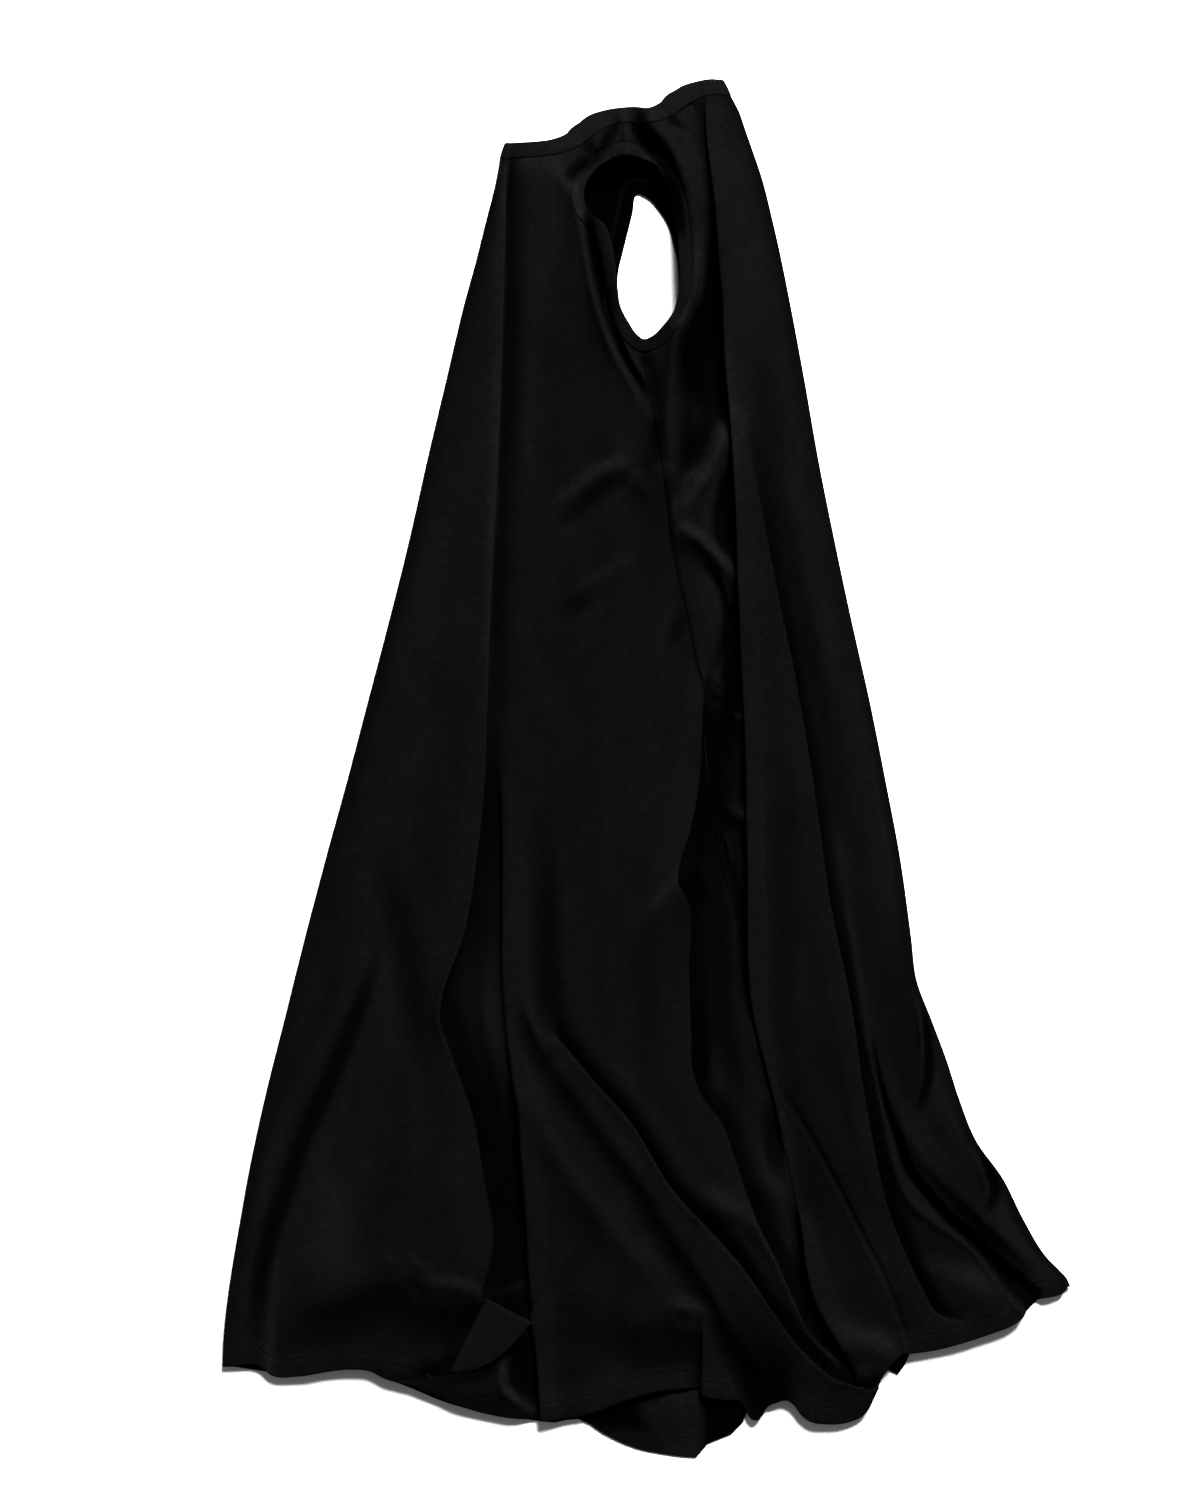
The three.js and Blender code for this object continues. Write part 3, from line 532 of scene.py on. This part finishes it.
def mesh_piece(name, mesh, material, node, shade=None, thick=None):
    """A smooth-shaded piece that stands for a CAD node, from points in millimetres, faces and cloth places.

    shade is its painted light: shade below 1, highlight above. Without one, that is read off the near ply at each
    point."""
    points, faces, uv = mesh
    data = bpy.data.meshes.new(name)
    points = np.asarray(points)
    data.from_pydata((points * MM).tolist(), [], faces)
    if shade is None:
        shade = painted_light(points[:, 0], points[:, 1])
    painted_light_layer = data.attributes.new("painted_light", "FLOAT", "POINT")
    painted_light_layer.data.foreach_set("value", np.broadcast_to(np.asarray(shade, np.float32), (len(points),)).copy())
    layer = data.uv_layers.new(name="cloth")
    index = np.zeros(len(data.loops), np.int32)
    data.loops.foreach_get("vertex_index", index)
    layer.data.foreach_set("uv", (np.asarray(uv, np.float32)[index] * MM).ravel())
    data.shade_smooth()
    data.validate()
    piece = bpy.data.objects.new(name, data)
    bpy.context.scene.collection.objects.link(piece)
    data.materials.append(material)
    if thick:
        solid = piece.modifiers.new("cloth", "SOLIDIFY")
        solid.thickness, solid.offset = thick * MM, 0.0
    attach(piece, "root")
    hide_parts(node)
    return piece


def inside(outline, x, y):
    """Whether each point is inside a closed outline."""
    hit = np.zeros(len(x), bool)
    for (ax, ay), (bx, by) in zip(outline, np.roll(outline, -1, axis=0)):
        if ay == by:
            continue
        hit ^= ((ay > y) != (by > y)) & (x < (bx - ax) * (y - ay) / (by - ay) + ax)
    return hit


def onto(outline, x, y):
    """The nearest points of a closed outline."""
    ring = np.vstack([outline, outline[:1]])
    _, _, value, _ = nearest(ring, x, y, 1e4)
    return value[:, 0], value[:, 1]


def offset(outline, by):
    """A closed clockwise outline moved outward."""
    t = np.roll(outline, -1, axis=0) - np.roll(outline, 1, axis=0)
    n = np.stack([-t[:, 1], t[:, 0]], 1) / np.hypot(*t.T)[:, None]
    for _ in range(6):
        n = (np.roll(n, 1, axis=0) + 2 * n + np.roll(n, -1, axis=0)) / 4
    n /= np.hypot(*n.T)[:, None]
    return outline + by * n


arm_near, arm_far = spline(ARM_NEAR, 4.0, closed=True), spline(ARM_FAR, 4.0, closed=True)
seam_near, seam_far = offset(arm_near, ARM_BAND), offset(arm_far, ARM_BAND)


def fold_over(a, b, side, count, radius=FOLD, power=0.8):
    """The half turn round a fold, from points of the near ply to those of the far one."""
    turn = np.linspace(0, np.pi, count)[1:-1]
    a, b = a[..., None, :], b[..., None, :]
    arc = (a + b) / 2 + (a - b) / 2 * np.cos(turn)[:, None]
    arc[..., 0] += side * radius * np.sin(turn) ** power
    return arc


ROWS = np.r_[np.linspace(0, 1 - 34 / DROP, 272)[:-1], np.linspace(1 - 34 / DROP, 1, 28)]  # closer at the hem
COLUMNS = {(-1, True): 205, (1, True): 135, (-1, False): 50, (1, False): 36}


def ply(side, near):
    """The plan of one half of a panel, as rows from its fold to its seam."""
    hem = hem_near if near else hem_far
    u = np.linspace(0, 1, COLUMNS[side, near] + 1)[None, :]
    split = seam_share(ROWS, hem)[:, None]
    s = split * u if side < 0 else 1 - (1 - split) * u
    return plan(s, ROWS[:, None] + 0 * s, hem)


def hem_relief(v):
    """The turned-up hem: a double layer, drawn in along its two lines of stitching."""
    up = (1 - v) * DROP
    relief = 0.7 * smooth(HEM + 6, HEM + 1, up)
    for row in (HEM, HEM - NEEDLES):
        relief = relief - 0.45 * np.exp(-(((up - row) / 1.5) ** 2))
    return relief - 0.5 * smooth(2, 0, up)


def far_z(x, y):
    """Height of the middle of the far ply. Its hem rises where it comes out below the near one."""
    rise = 9 * np.exp(-(((x - 34) / 19) ** 2) - ((y + 640) / 26) ** 2)
    return FAR + 0.25 + rise + 4 * np.exp(-(((x + 190) / 60) ** 2) - ((y + 625) / 20) ** 2)


def far_shade_at(x, y):
    """Painted light of the far ply: painted shade under the near ply, painted highlight where its hem lies out beyond
    it.
    """
    out = smooth(-12, 12, x + 0.5 * (y + 650)) * smooth(60, 57, x)
    out = np.maximum(out, 0.55 * smooth(-659, -666, y) * smooth(-60, -45, x) * smooth(60, 57, x))
    return np.where(y > 300, 0.03, np.where(y > -560, 0.25, 0.14 + 1.5 * out + 0.3 * smooth(-120, -160, x)))


def half_panel(side, near):
    """Points of one half of a panel, which faces are left of the armhole, cloth places and painted light."""
    x, y = ply(side, near)
    outline = seam_near if near else seam_far
    cx = (x[:-1, :-1] + x[1:, 1:]) / 2
    cy = (y[:-1, :-1] + y[1:, 1:]) / 2
    gone = inside(outline, cx.ravel(), cy.ravel()).reshape(cx.shape)
    touch_gone, touch_kept = np.zeros(x.shape, bool), np.zeros(x.shape, bool)
    for mask, target in ((gone, touch_gone), (~gone, touch_kept)):
        for r in (0, 1):
            for c in (0, 1):
                target[r : r + mask.shape[0], c : c + mask.shape[1]] |= mask
    rim = touch_gone & touch_kept
    x2, y2 = x.copy(), y.copy()
    x2[rim], y2[rim] = onto(outline, x[rim], y[rim])
    if near:
        p = surface(x2, y2)
        tuck = np.zeros(x.shape)
        tuck[:, -1] = -1.3 * smooth(0.96, 0.9, ROWS)
        tuck[:, -2] = -0.3 * smooth(0.96, 0.9, ROWS)
        p[..., 2] += tuck + hem_relief(ROWS)[:, None]
        p[..., 2][rim] -= 0.8
        shade = painted_light(x2, y2)
    else:
        wave = 0.25 * np.cos(x2 / 37 + y2 / 61) + 0.2 * np.cos(x2 / 23 - y2 / 45)
        p = np.stack([x2, y2, far_z(x2, y2) + wave * smooth(0, 30, to_fold(x2, y2))], -1)
        shade = far_shade_at(x2, y2)
    return p, ~gone, np.stack([x, y], -1), shade


def panel(side):
    """One panel: near half, the fold round its centre line, and the far half, cut out at the armholes."""
    points, uvs, shades = [], [], []
    near_p, near_kept, near_uv, near_shade = half_panel(side, True)
    far_p, far_kept, far_uv, far_shade = half_panel(side, False)
    wrap = fold_over(near_p[:, 0], far_p[:, 0], side, 9)
    turns = wrap.shape[1]
    wrap_uv = np.repeat(near_uv[:, :1], turns, 1)
    wrap_uv[..., 0] += side * 2.0 * np.arange(turns)

    def put(p, uv, shade):
        start = len(points)
        points.extend(p.reshape(-1, 3))
        uvs.extend(uv.reshape(-1, 2))
        shades.extend(shade.ravel())
        return start + np.arange(p.shape[0] * p.shape[1]).reshape(p.shape[:2])

    def corners(ids):
        return [ids[:-1, :-1], ids[:-1, 1:], ids[1:, 1:], ids[1:, :-1]]

    near_id = put(near_p, near_uv, near_shade)
    wrap_id = put(wrap, wrap_uv, np.repeat(near_shade[:, :1], turns, 1))
    far_id = put(far_p, far_uv, far_shade)
    grid = np.hstack([near_id[:, ::-1], wrap_id, far_id])
    all_kept = np.hstack([near_kept[:, ::-1], np.ones((len(ROWS) - 1, turns + 1), bool), far_kept])
    a, b, c, d = corners(grid)
    quads = np.stack([a, b, c, d] if side > 0 else [a, d, c, b], -1)[all_kept]
    if side < 0:
        flap = turned_corner()
        # the turned corner is painted lighter all over: a painted highlight of 1.4
        ids = put(flap, flap[..., :2], np.full(flap.shape[:2], 1.4))
        quads = np.vstack([quads, np.stack(corners(ids), -1).reshape(-1, 4)])
    used, back = np.unique(quads, return_inverse=True)
    quads = back.reshape(quads.shape)
    return (np.array(points)[used], quads.tolist(), np.array(uvs)[used]), np.array(shades)[used]


def turned_corner():
    """The corner of the front hem that is turned up over the layer below it, as rows of points."""
    n, across = 24, 16
    t = np.linspace(0, 1, n)
    sides = []
    for points in ([(-196, -601), (-178, -564), (-160, -527)],
                   [(-194, -603), (-168, -598), (-144, -584), (-126, -566), (-114, -551)]):
        line = spline(points, 4.0)
        sides.append(np.stack([np.interp(t, np.linspace(0, 1, len(line)), line[:, c]) for c in (0, 1)], 1))
    w = np.linspace(0, 1, across)[None, :, None]
    flat = sides[0][:, None] * (1 - w) + sides[1][:, None] * w
    t, w = t[:, None], w[..., 0]
    z = 19 + 3 * t + (1.5 + 4 * t) * np.sin(np.pi * (0.15 + 0.6 * w)) - 2 * w * (1 - t)
    return np.dstack([flat, z])


def loft(a, b, thick, closed=False, around=8, flat=0.6):
    """A rounded strip between two lines of points: rings round it, joined along."""
    a, b = np.asarray(a), np.asarray(b)
    mid, across = (a + b) / 2, (b - a) / 2
    along = np.roll(mid, -1, axis=0) - np.roll(mid, 1, axis=0)
    if not closed:
        along[0], along[-1] = mid[1] - mid[0], mid[-1] - mid[-2]
    normal = np.cross(along, across)
    normal /= np.linalg.norm(normal, axis=1)[:, None] + 1e-12
    t = np.linspace(0, 2 * np.pi, around, endpoint=False)
    c, s = np.cos(t), np.sin(t)
    c, s = np.sign(c) * np.abs(c) ** 0.8, np.sign(s) * np.abs(s) ** flat
    thick = np.broadcast_to(np.asarray(thick, float), (len(a),))
    rise = normal * thick[:, None] / 2
    rings = mid[:, None] + across[:, None] * c[None, :, None] + rise[:, None] * s[None, :, None]
    n = len(a)
    uv = np.stack([np.cumsum(np.linalg.norm(along, axis=1))[:, None] / 2 + 0 * c,
                   np.linalg.norm(across, axis=1)[:, None] * (c + 1)], -1)
    ids = np.arange(n * around).reshape(n, around)
    faces = []
    for r in range(n if closed else n - 1):
        q = (r + 1) % n
        faces += [(ids[r, k], ids[r, (k + 1) % around], ids[q, (k + 1) % around], ids[q, k]) for k in range(around)]
    if not closed:
        faces += [tuple(ids[0, ::-1]), tuple(ids[-1])]
    return rings.reshape(-1, 3), [tuple(int(i) for i in f) for f in faces], uv.reshape(-1, 2)


def merge(parts):
    """Several meshes as one."""
    points, faces, uvs, start = [], [], [], 0
    for p, f, uv in parts:
        points.append(p)
        uvs.append(uv)
        faces += [tuple(i + start for i in face) for face in f]
        start += len(p)
    return np.vstack(points), faces, np.vstack(uvs)


def strip_lines(line, width):
    """The two edges of a strip of a width along a plan line."""
    t = np.gradient(line, axis=0)
    n = np.stack([-t[:, 1], t[:, 0]], 1) / np.hypot(*t.T)[:, None]
    return line + n * width / 2, line - n * width / 2


def on_near(line, up=0.0):
    """A plan line laid on the near ply, or a little above its middle."""
    p = surface(line[:, 0], line[:, 1])
    p[:, 2] = np.maximum(p[:, 2] + up, FAR + 1.2)
    return p


def on_far(line, up=0.0):
    """A plan line laid on the far ply, or a little above its middle."""
    return np.column_stack([line[:, 0], line[:, 1], far_z(line[:, 0], line[:, 1]) + up])


def round_tube(lines, up_near, up_far, inward=0.0):
    """Edge lines carried round the whole tube: near ply, back fold, far ply, front fold."""
    out = []
    for line in lines:
        near, far = on_near(line, up_near), on_far(line, up_far)
        back, front = (fold_over(near[end], far[end], side, 10, FOLD - inward) for end, side in ((-1, 1), (0, -1)))
        out.append(np.vstack([near, back, far[::-1], front[::-1]]))
    return out


def neck_line(drop, count=150):
    """A line a drop below the top edge of the neck binding, from fold to fold."""
    x = np.linspace(0, 1, count)
    nx = neck.p[0, 0] + FOLD + (neck.p[-1, 0] - neck.p[0, 0] - 2 * FOLD) * x
    y = neck.y_at(nx)
    slope = np.gradient(y, nx)
    # square to the neck seam, but for its two ends, which follow the front and the back edge
    over = -slope + (0.33 + slope) * smooth(0.15, 0, x) + (slope - 0.5) * smooth(0.85, 1, x)
    return np.column_stack([nx + over * (NECK_BAND - drop), y + (NECK_BAND - drop)])


def hem_line(rise, hem, count):
    """A line a rise above the hem, from fold to fold."""
    v = np.full(count, 1 - rise / DROP)
    s = np.linspace(0, 1, count)
    return np.column_stack(plan(s, v, hem))


# ---------------------------------------------------------------- materials


def new_material(name):
    """A material, its nodes and its shader."""
    material = bpy.data.materials.new(name)
    material.use_nodes = True
    return material, material.node_tree, material.node_tree.nodes["Principled BSDF"]


BANDS_APART = 0.314159  # of a wave texture with a scale of 1


def knit(name, dark, light, wale, course, relief, roughness, specular=0.01, fuzz=0.25):
    """Plain jersey knit: wales and courses of small loops, a fine fuzz, and slightly uneven black dye.

    wale and course are the sizes of a loop in millimetres. The painted light stored at each place multiplies the
    colour."""
    material, tree, shader = new_material(name)

    def node(kind, inputs, **settings):
        """A node with its settings. Each input is a value, or the output that it is linked from."""
        made = tree.nodes.new("ShaderNode" + kind)
        for setting, value in settings.items():
            setattr(made, setting, value)
        for socket, value in inputs.items():
            if isinstance(value, bpy.types.NodeSocket):
                tree.links.new(value, made.inputs[socket])
            else:
                made.inputs[socket].default_value = value
        return made

    def wave(direction, period, distort):
        return node("TexWave", {"Vector": place, "Scale": BANDS_APART / period, "Distortion": distort,
                                "Detail": 1.0, "Detail Scale": 1.5},
                    wave_type="BANDS", bands_direction=direction, wave_profile="SIN").outputs["Fac"]

    def noise(size, detail):
        return node("TexNoise", {"Vector": place, "Scale": 1 / size, "Detail": detail}).outputs["Fac"]

    def maths(operation, *values):
        return node("Math", dict(enumerate(values)), operation=operation).outputs[0]

    def times(colour, other, factor):
        return node("Mix", {"Factor": factor, "A": colour, "B": other}, data_type="RGBA",
                    blend_type="MULTIPLY").outputs["Result"]

    def bump_of(height, strength, distance, **below):
        return node("Bump", {"Strength": strength, "Distance": distance, "Height": height, **below}).outputs[0]

    cloth = node("UVMap", {}, uv_map="cloth").outputs[0]
    place = node("VectorMath", {0: cloth, "Scale": 1 / MM}, operation="SCALE").outputs[0]
    loops = maths("MULTIPLY", wave("X", wale, 0.5), wave("Y", course, 0.8))
    lint, dye, mottled = noise(1.3, 3), noise(90.0, 2), noise(6.0, 3)
    tint = node("ValToRGB", {0: maths("MULTIPLY_ADD", dye, 0.55, mottled)})
    for end, position, colour in ((0, 0.45, dark), (1, 1.05, light)):
        tint.color_ramp.elements[end].position = position
        tint.color_ramp.elements[end].color = (*colour, 1)
    colour = times(tint.outputs[0], maths("MULTIPLY_ADD", lint, 1.6, 0.1), 0.7)
    # painted light and shade, stored on the mesh, multiply the colour
    colour = times(colour, node("Attribute", {}, attribute_name="painted_light").outputs["Fac"], 1.0)
    tree.links.new(colour, shader.inputs["Base Color"])
    fluff = bump_of(lint, fuzz, 0.0005, Normal=bump_of(loops, relief, 0.0004))
    tree.links.new(fluff, shader.inputs["Normal"])
    tree.links.new(maths("MULTIPLY_ADD", mottled, 0.12, roughness - 0.06), shader.inputs["Roughness"])
    shader.inputs["Specular IOR Level"].default_value = specular
    return material


JERSEY = knit("black_cotton_jersey", (0.0021, 0.0022, 0.0024), (0.0036, 0.0037, 0.0040), 1.1, 0.9, 0.35, 0.92)
BINDING = knit("black_jersey_binding", (0.0030, 0.0031, 0.0034), (0.0050, 0.0051, 0.0055), 0.9, 1.1, 0.45, 0.9)
THREAD = knit("black_sewing_thread", (0.009, 0.009, 0.0096), (0.015, 0.015, 0.016), 0.35, 1.4, 0.8, 0.7, 0.03)
TAPE = knit("black_stay_tape", (0.005, 0.005, 0.0054), (0.008, 0.008, 0.0084), 0.8, 0.8, 0.6, 0.8, 0.03)
LABEL = knit("white_satin_label", (0.62, 0.62, 0.60), (0.74, 0.74, 0.72), 0.3, 0.3, 0.3, 0.45, 0.4, 0.05)

# ---------------------------------------------------------------- the pieces

for name, side in (("front_panel", -1), ("back_panel", 1)):
    mesh, shade = panel(side)
    mesh_piece(name + "_cloth", mesh, JERSEY, name, shade, CLOTH)

uneven = 1 + 0.06 * np.cos(np.linspace(0, 60, 316)) + 0.05 * np.cos(np.linspace(0, 23, 316))
outer, inner = round_tube([neck_line(0.3), neck_line(NECK_BAND + 0.6)], 0.9, 0.2)
# the neck binding is painted lighter all round: a painted highlight of 1.2
neck_binding = mesh_piece("neck_binding_rolled", loft(outer, inner, BINDING_THICK * uneven, True, 16), BINDING,
                          "neck_binding", 1.2)
outer, inner = round_tube([neck_line(NECK_BAND + 1), neck_line(NECK_BAND + 6)], -1.3, 1.0, 1.6)
neck_overlock = mesh_piece("neck_overlock_thread", loft(outer, inner, THREAD_THICK, True), THREAD,
                           "neck_overlock")
lines = []
for drop in (NECK_BAND + 1, NECK_BAND + 9):
    line = neck_line(drop)
    line = line[line[:, 0] > -20]
    near, far = on_near(line, DEEP), on_far(line, 1.7)
    lines.append(np.vstack([near, fold_over(near[-1], far[-1], 1, 8, FOLD - 2.4, 1), far[::-1]]))
n = min(map(len, lines))
back_neck_tape = mesh_piece("back_neck_tape_woven", loft(lines[0][-n:], lines[1][-n:], TAPE_THICK), TAPE,
                            "back_neck_tape")

# shade and seam_shade are painted light: None reads it off the near ply, RIGHT_SHADE is painted shade between the
# plies, 0.25 paints the left side overlock dark under the near ply
for side, inner_line, ring_line, carry, lift, down, deep, shade, seam_shade in (
    ("left", arm_near, seam_near, on_near, 1.0, BELOW, DEEP, None, 0.25),
    ("right", arm_far, seam_far, on_far, 0.2, 1.0, 1.6, RIGHT_SHADE, RIGHT_SHADE),
):

    def trim(kind, look, a, b, thick, material, shade, closed=False, around=8):
        """A strip between two lines of points: one of this side's trims."""
        return mesh_piece(f"{side}_{kind}_{look}", loft(a, b, thick, closed, around), material,
                          f"{side}_{kind}", shade)

    outer, inner = carry(offset(inner_line, ARM_BAND + 0.8), 0.6), carry(inner_line, 0.6)
    inner[:, 2] = outer[:, 2] * 0.5 + inner[:, 2] * 0.5 + lift
    t = np.linspace(0, 2 * np.pi, len(outer), endpoint=False)
    uneven = 1 + 0.07 * np.cos(17 * t) + 0.05 * np.cos(29 * t + 1)
    trim("armhole_binding", "rolled", outer, inner, BINDING_THICK * uneven, BINDING, shade,
                       True, 16)
    outer, inner = (carry(offset(inner_line, ARM_BAND + out), down) for out in (5, 0))
    trim("armhole_overlock", "thread", outer, inner, THREAD_THICK, THREAD, shade, True)
    low, top = ring_line[:, 1].min(), ring_line[:, 1].max()
    ys = np.linspace(TOP, max(top, 626) + 2, 8) if side == "left" else np.linspace(TOP, top + 6, 12)
    line = np.column_stack([seam.x_at(ys), ys])
    a, b = strip_lines(line, 5.0)
    trim("shoulder_overlock", "thread", carry(a, down), carry(b, down), THREAD_THICK, THREAD, shade)
    a, b = strip_lines(line, 8.0)
    trim("shoulder_tape", "woven", carry(a, deep), carry(b, deep), TAPE_THICK, TAPE, shade)
    ys = np.linspace(low - 7, -632, 420)
    a, b = strip_lines(np.column_stack([seam.x_at(ys), ys]), 4.4)
    trim("side_overlock", "thread", carry(a, down), carry(b, down), THREAD_THICK, THREAD, seam_shade)


def stitches(path, length=2.7, gap=0.9, radius=0.32):
    """A row of separate raised stitches along a line of points."""
    s = np.r_[0, np.cumsum(np.linalg.norm(np.diff(path, axis=0), axis=1))]
    starts = np.arange(1.0, s[-1] - length, length + gap)
    parts = []
    t = np.linspace(0, 1, 5)
    hump = np.array([0, 0.8, 1, 0.8, 0]) * radius * 1.2
    for k in starts:
        q = np.stack([np.interp(k + length * t, s, path[:, c]) for c in range(3)], 1)
        d = q[-1] - q[0]
        d /= np.linalg.norm(d) + 1e-9
        n = np.array([-d[1], d[0], 0.0])
        n /= np.linalg.norm(n) + 1e-9
        q[:, 2] += hump - 0.15
        r = radius * np.array([0.35, 0.95, 1, 0.95, 0.35])
        parts.append(loft(q + n * r[:, None], q - n * r[:, None], 2 * r, around=6, flat=1.0))
    return parts


parts, far_parts = [], []
for rise in (HEM, HEM - NEEDLES):
    near = on_near(hem_line(rise, hem_near, 900))
    near[:, 2] += 0.35
    parts += stitches(near)
    far_parts += stitches(on_far(hem_line(rise, hem_far, 700), 0.4))
a, b = round_tube([hem_line(rise, hem_near, 300) for rise in (HEM + 1, HEM - NEEDLES - 1)], -1.3, 0.9, 1.6)
parts.append(loft(a, b, 0.4, True, 6))
near_count = sum(len(part[0]) for part in parts)
mesh = merge(parts + far_parts)
x, y = mesh[0][:, 0], mesh[0][:, 1]
# painted light: the near stitches take the near ply's, and the far ones get painted shade darker than their ply
shade = painted_light(x, y)
shade[near_count:] = 0.4 * far_shade_at(x[near_count:], y[near_count:])
hem_coverstitch = mesh_piece("hem_coverstitch_thread", mesh, THREAD, "hem_coverstitch", shade)


def label(node, cx, cy, w, l, carry, up):
    """A blank satin label on one ply, gently curled."""
    u = np.linspace(-0.5, 0.5, 9)
    a, b = (carry(np.column_stack([cx + 0 * u + half, cy - u * l]), up) for half in (-w / 2, w / 2))
    a[:, 2] += 0.3 * np.cos(u * 5)
    b[:, 2] += 0.3 * np.cos(u * 5 + 1)
    return mesh_piece(node + "_satin", loft(a, b, 0.4), LABEL, node)


label("size_label", 59, 645, 24, 16, on_far, 1.0)
label("care_label", 117, -207, 28, 60, on_near, -2.6)

# ---------------------------------------------------------------- floor, light and camera

bpy.ops.mesh.primitive_plane_add(size=60, location=(0, 0, -0.0005))
floor = bpy.context.object
floor.name = "floor"
material, _, shader = new_material("pale_floor")
shader.inputs["Base Color"].default_value = (0.86, 0.86, 0.86, 1)
shader.inputs["Roughness"].default_value = 0.9
shader.inputs["Specular IOR Level"].default_value = 0.1
floor.data.materials.append(material)


LAMP_AT = (1.5, 4.3, 4.9)  # one large soft lamp beyond the neck, which points at the middle of the dress
data = bpy.data.lights.new("key", "AREA")
data.shape, data.size, data.energy = "DISK", 2.7, 2050
light = bpy.data.objects.new("key", data)
bpy.context.scene.collection.objects.link(light)
light.location = LAMP_AT
light.rotation_euler = (math.atan2(math.hypot(*LAMP_AT[:2]), LAMP_AT[2]), 0, math.atan2(LAMP_AT[0], -LAMP_AT[1]))
light.visible_camera = False
world = bpy.data.worlds.new("studio")
bpy.context.scene.world = world
world.use_nodes = True
sky = world.node_tree.nodes["Background"]
sky.inputs["Color"].default_value = (1, 1, 1, 1)
sky.inputs["Strength"].default_value = 0.25

camera = bpy.data.objects.new("camera", bpy.data.cameras.new("camera"))
bpy.context.scene.collection.objects.link(camera)
camera.data.lens, camera.data.sensor_width = 100, 36
# straight above, where it sees 1.5 m from top to bottom at 10 mm above the floor
camera.location = (-0.0465, 0.019, 4.1667 + 0.010)
camera.rotation_euler = (0, 0, 0)
bpy.context.scene.camera = camera
bpy.context.scene.view_settings.view_transform = "Standard"
bpy.context.scene.view_settings.gamma = 0.8
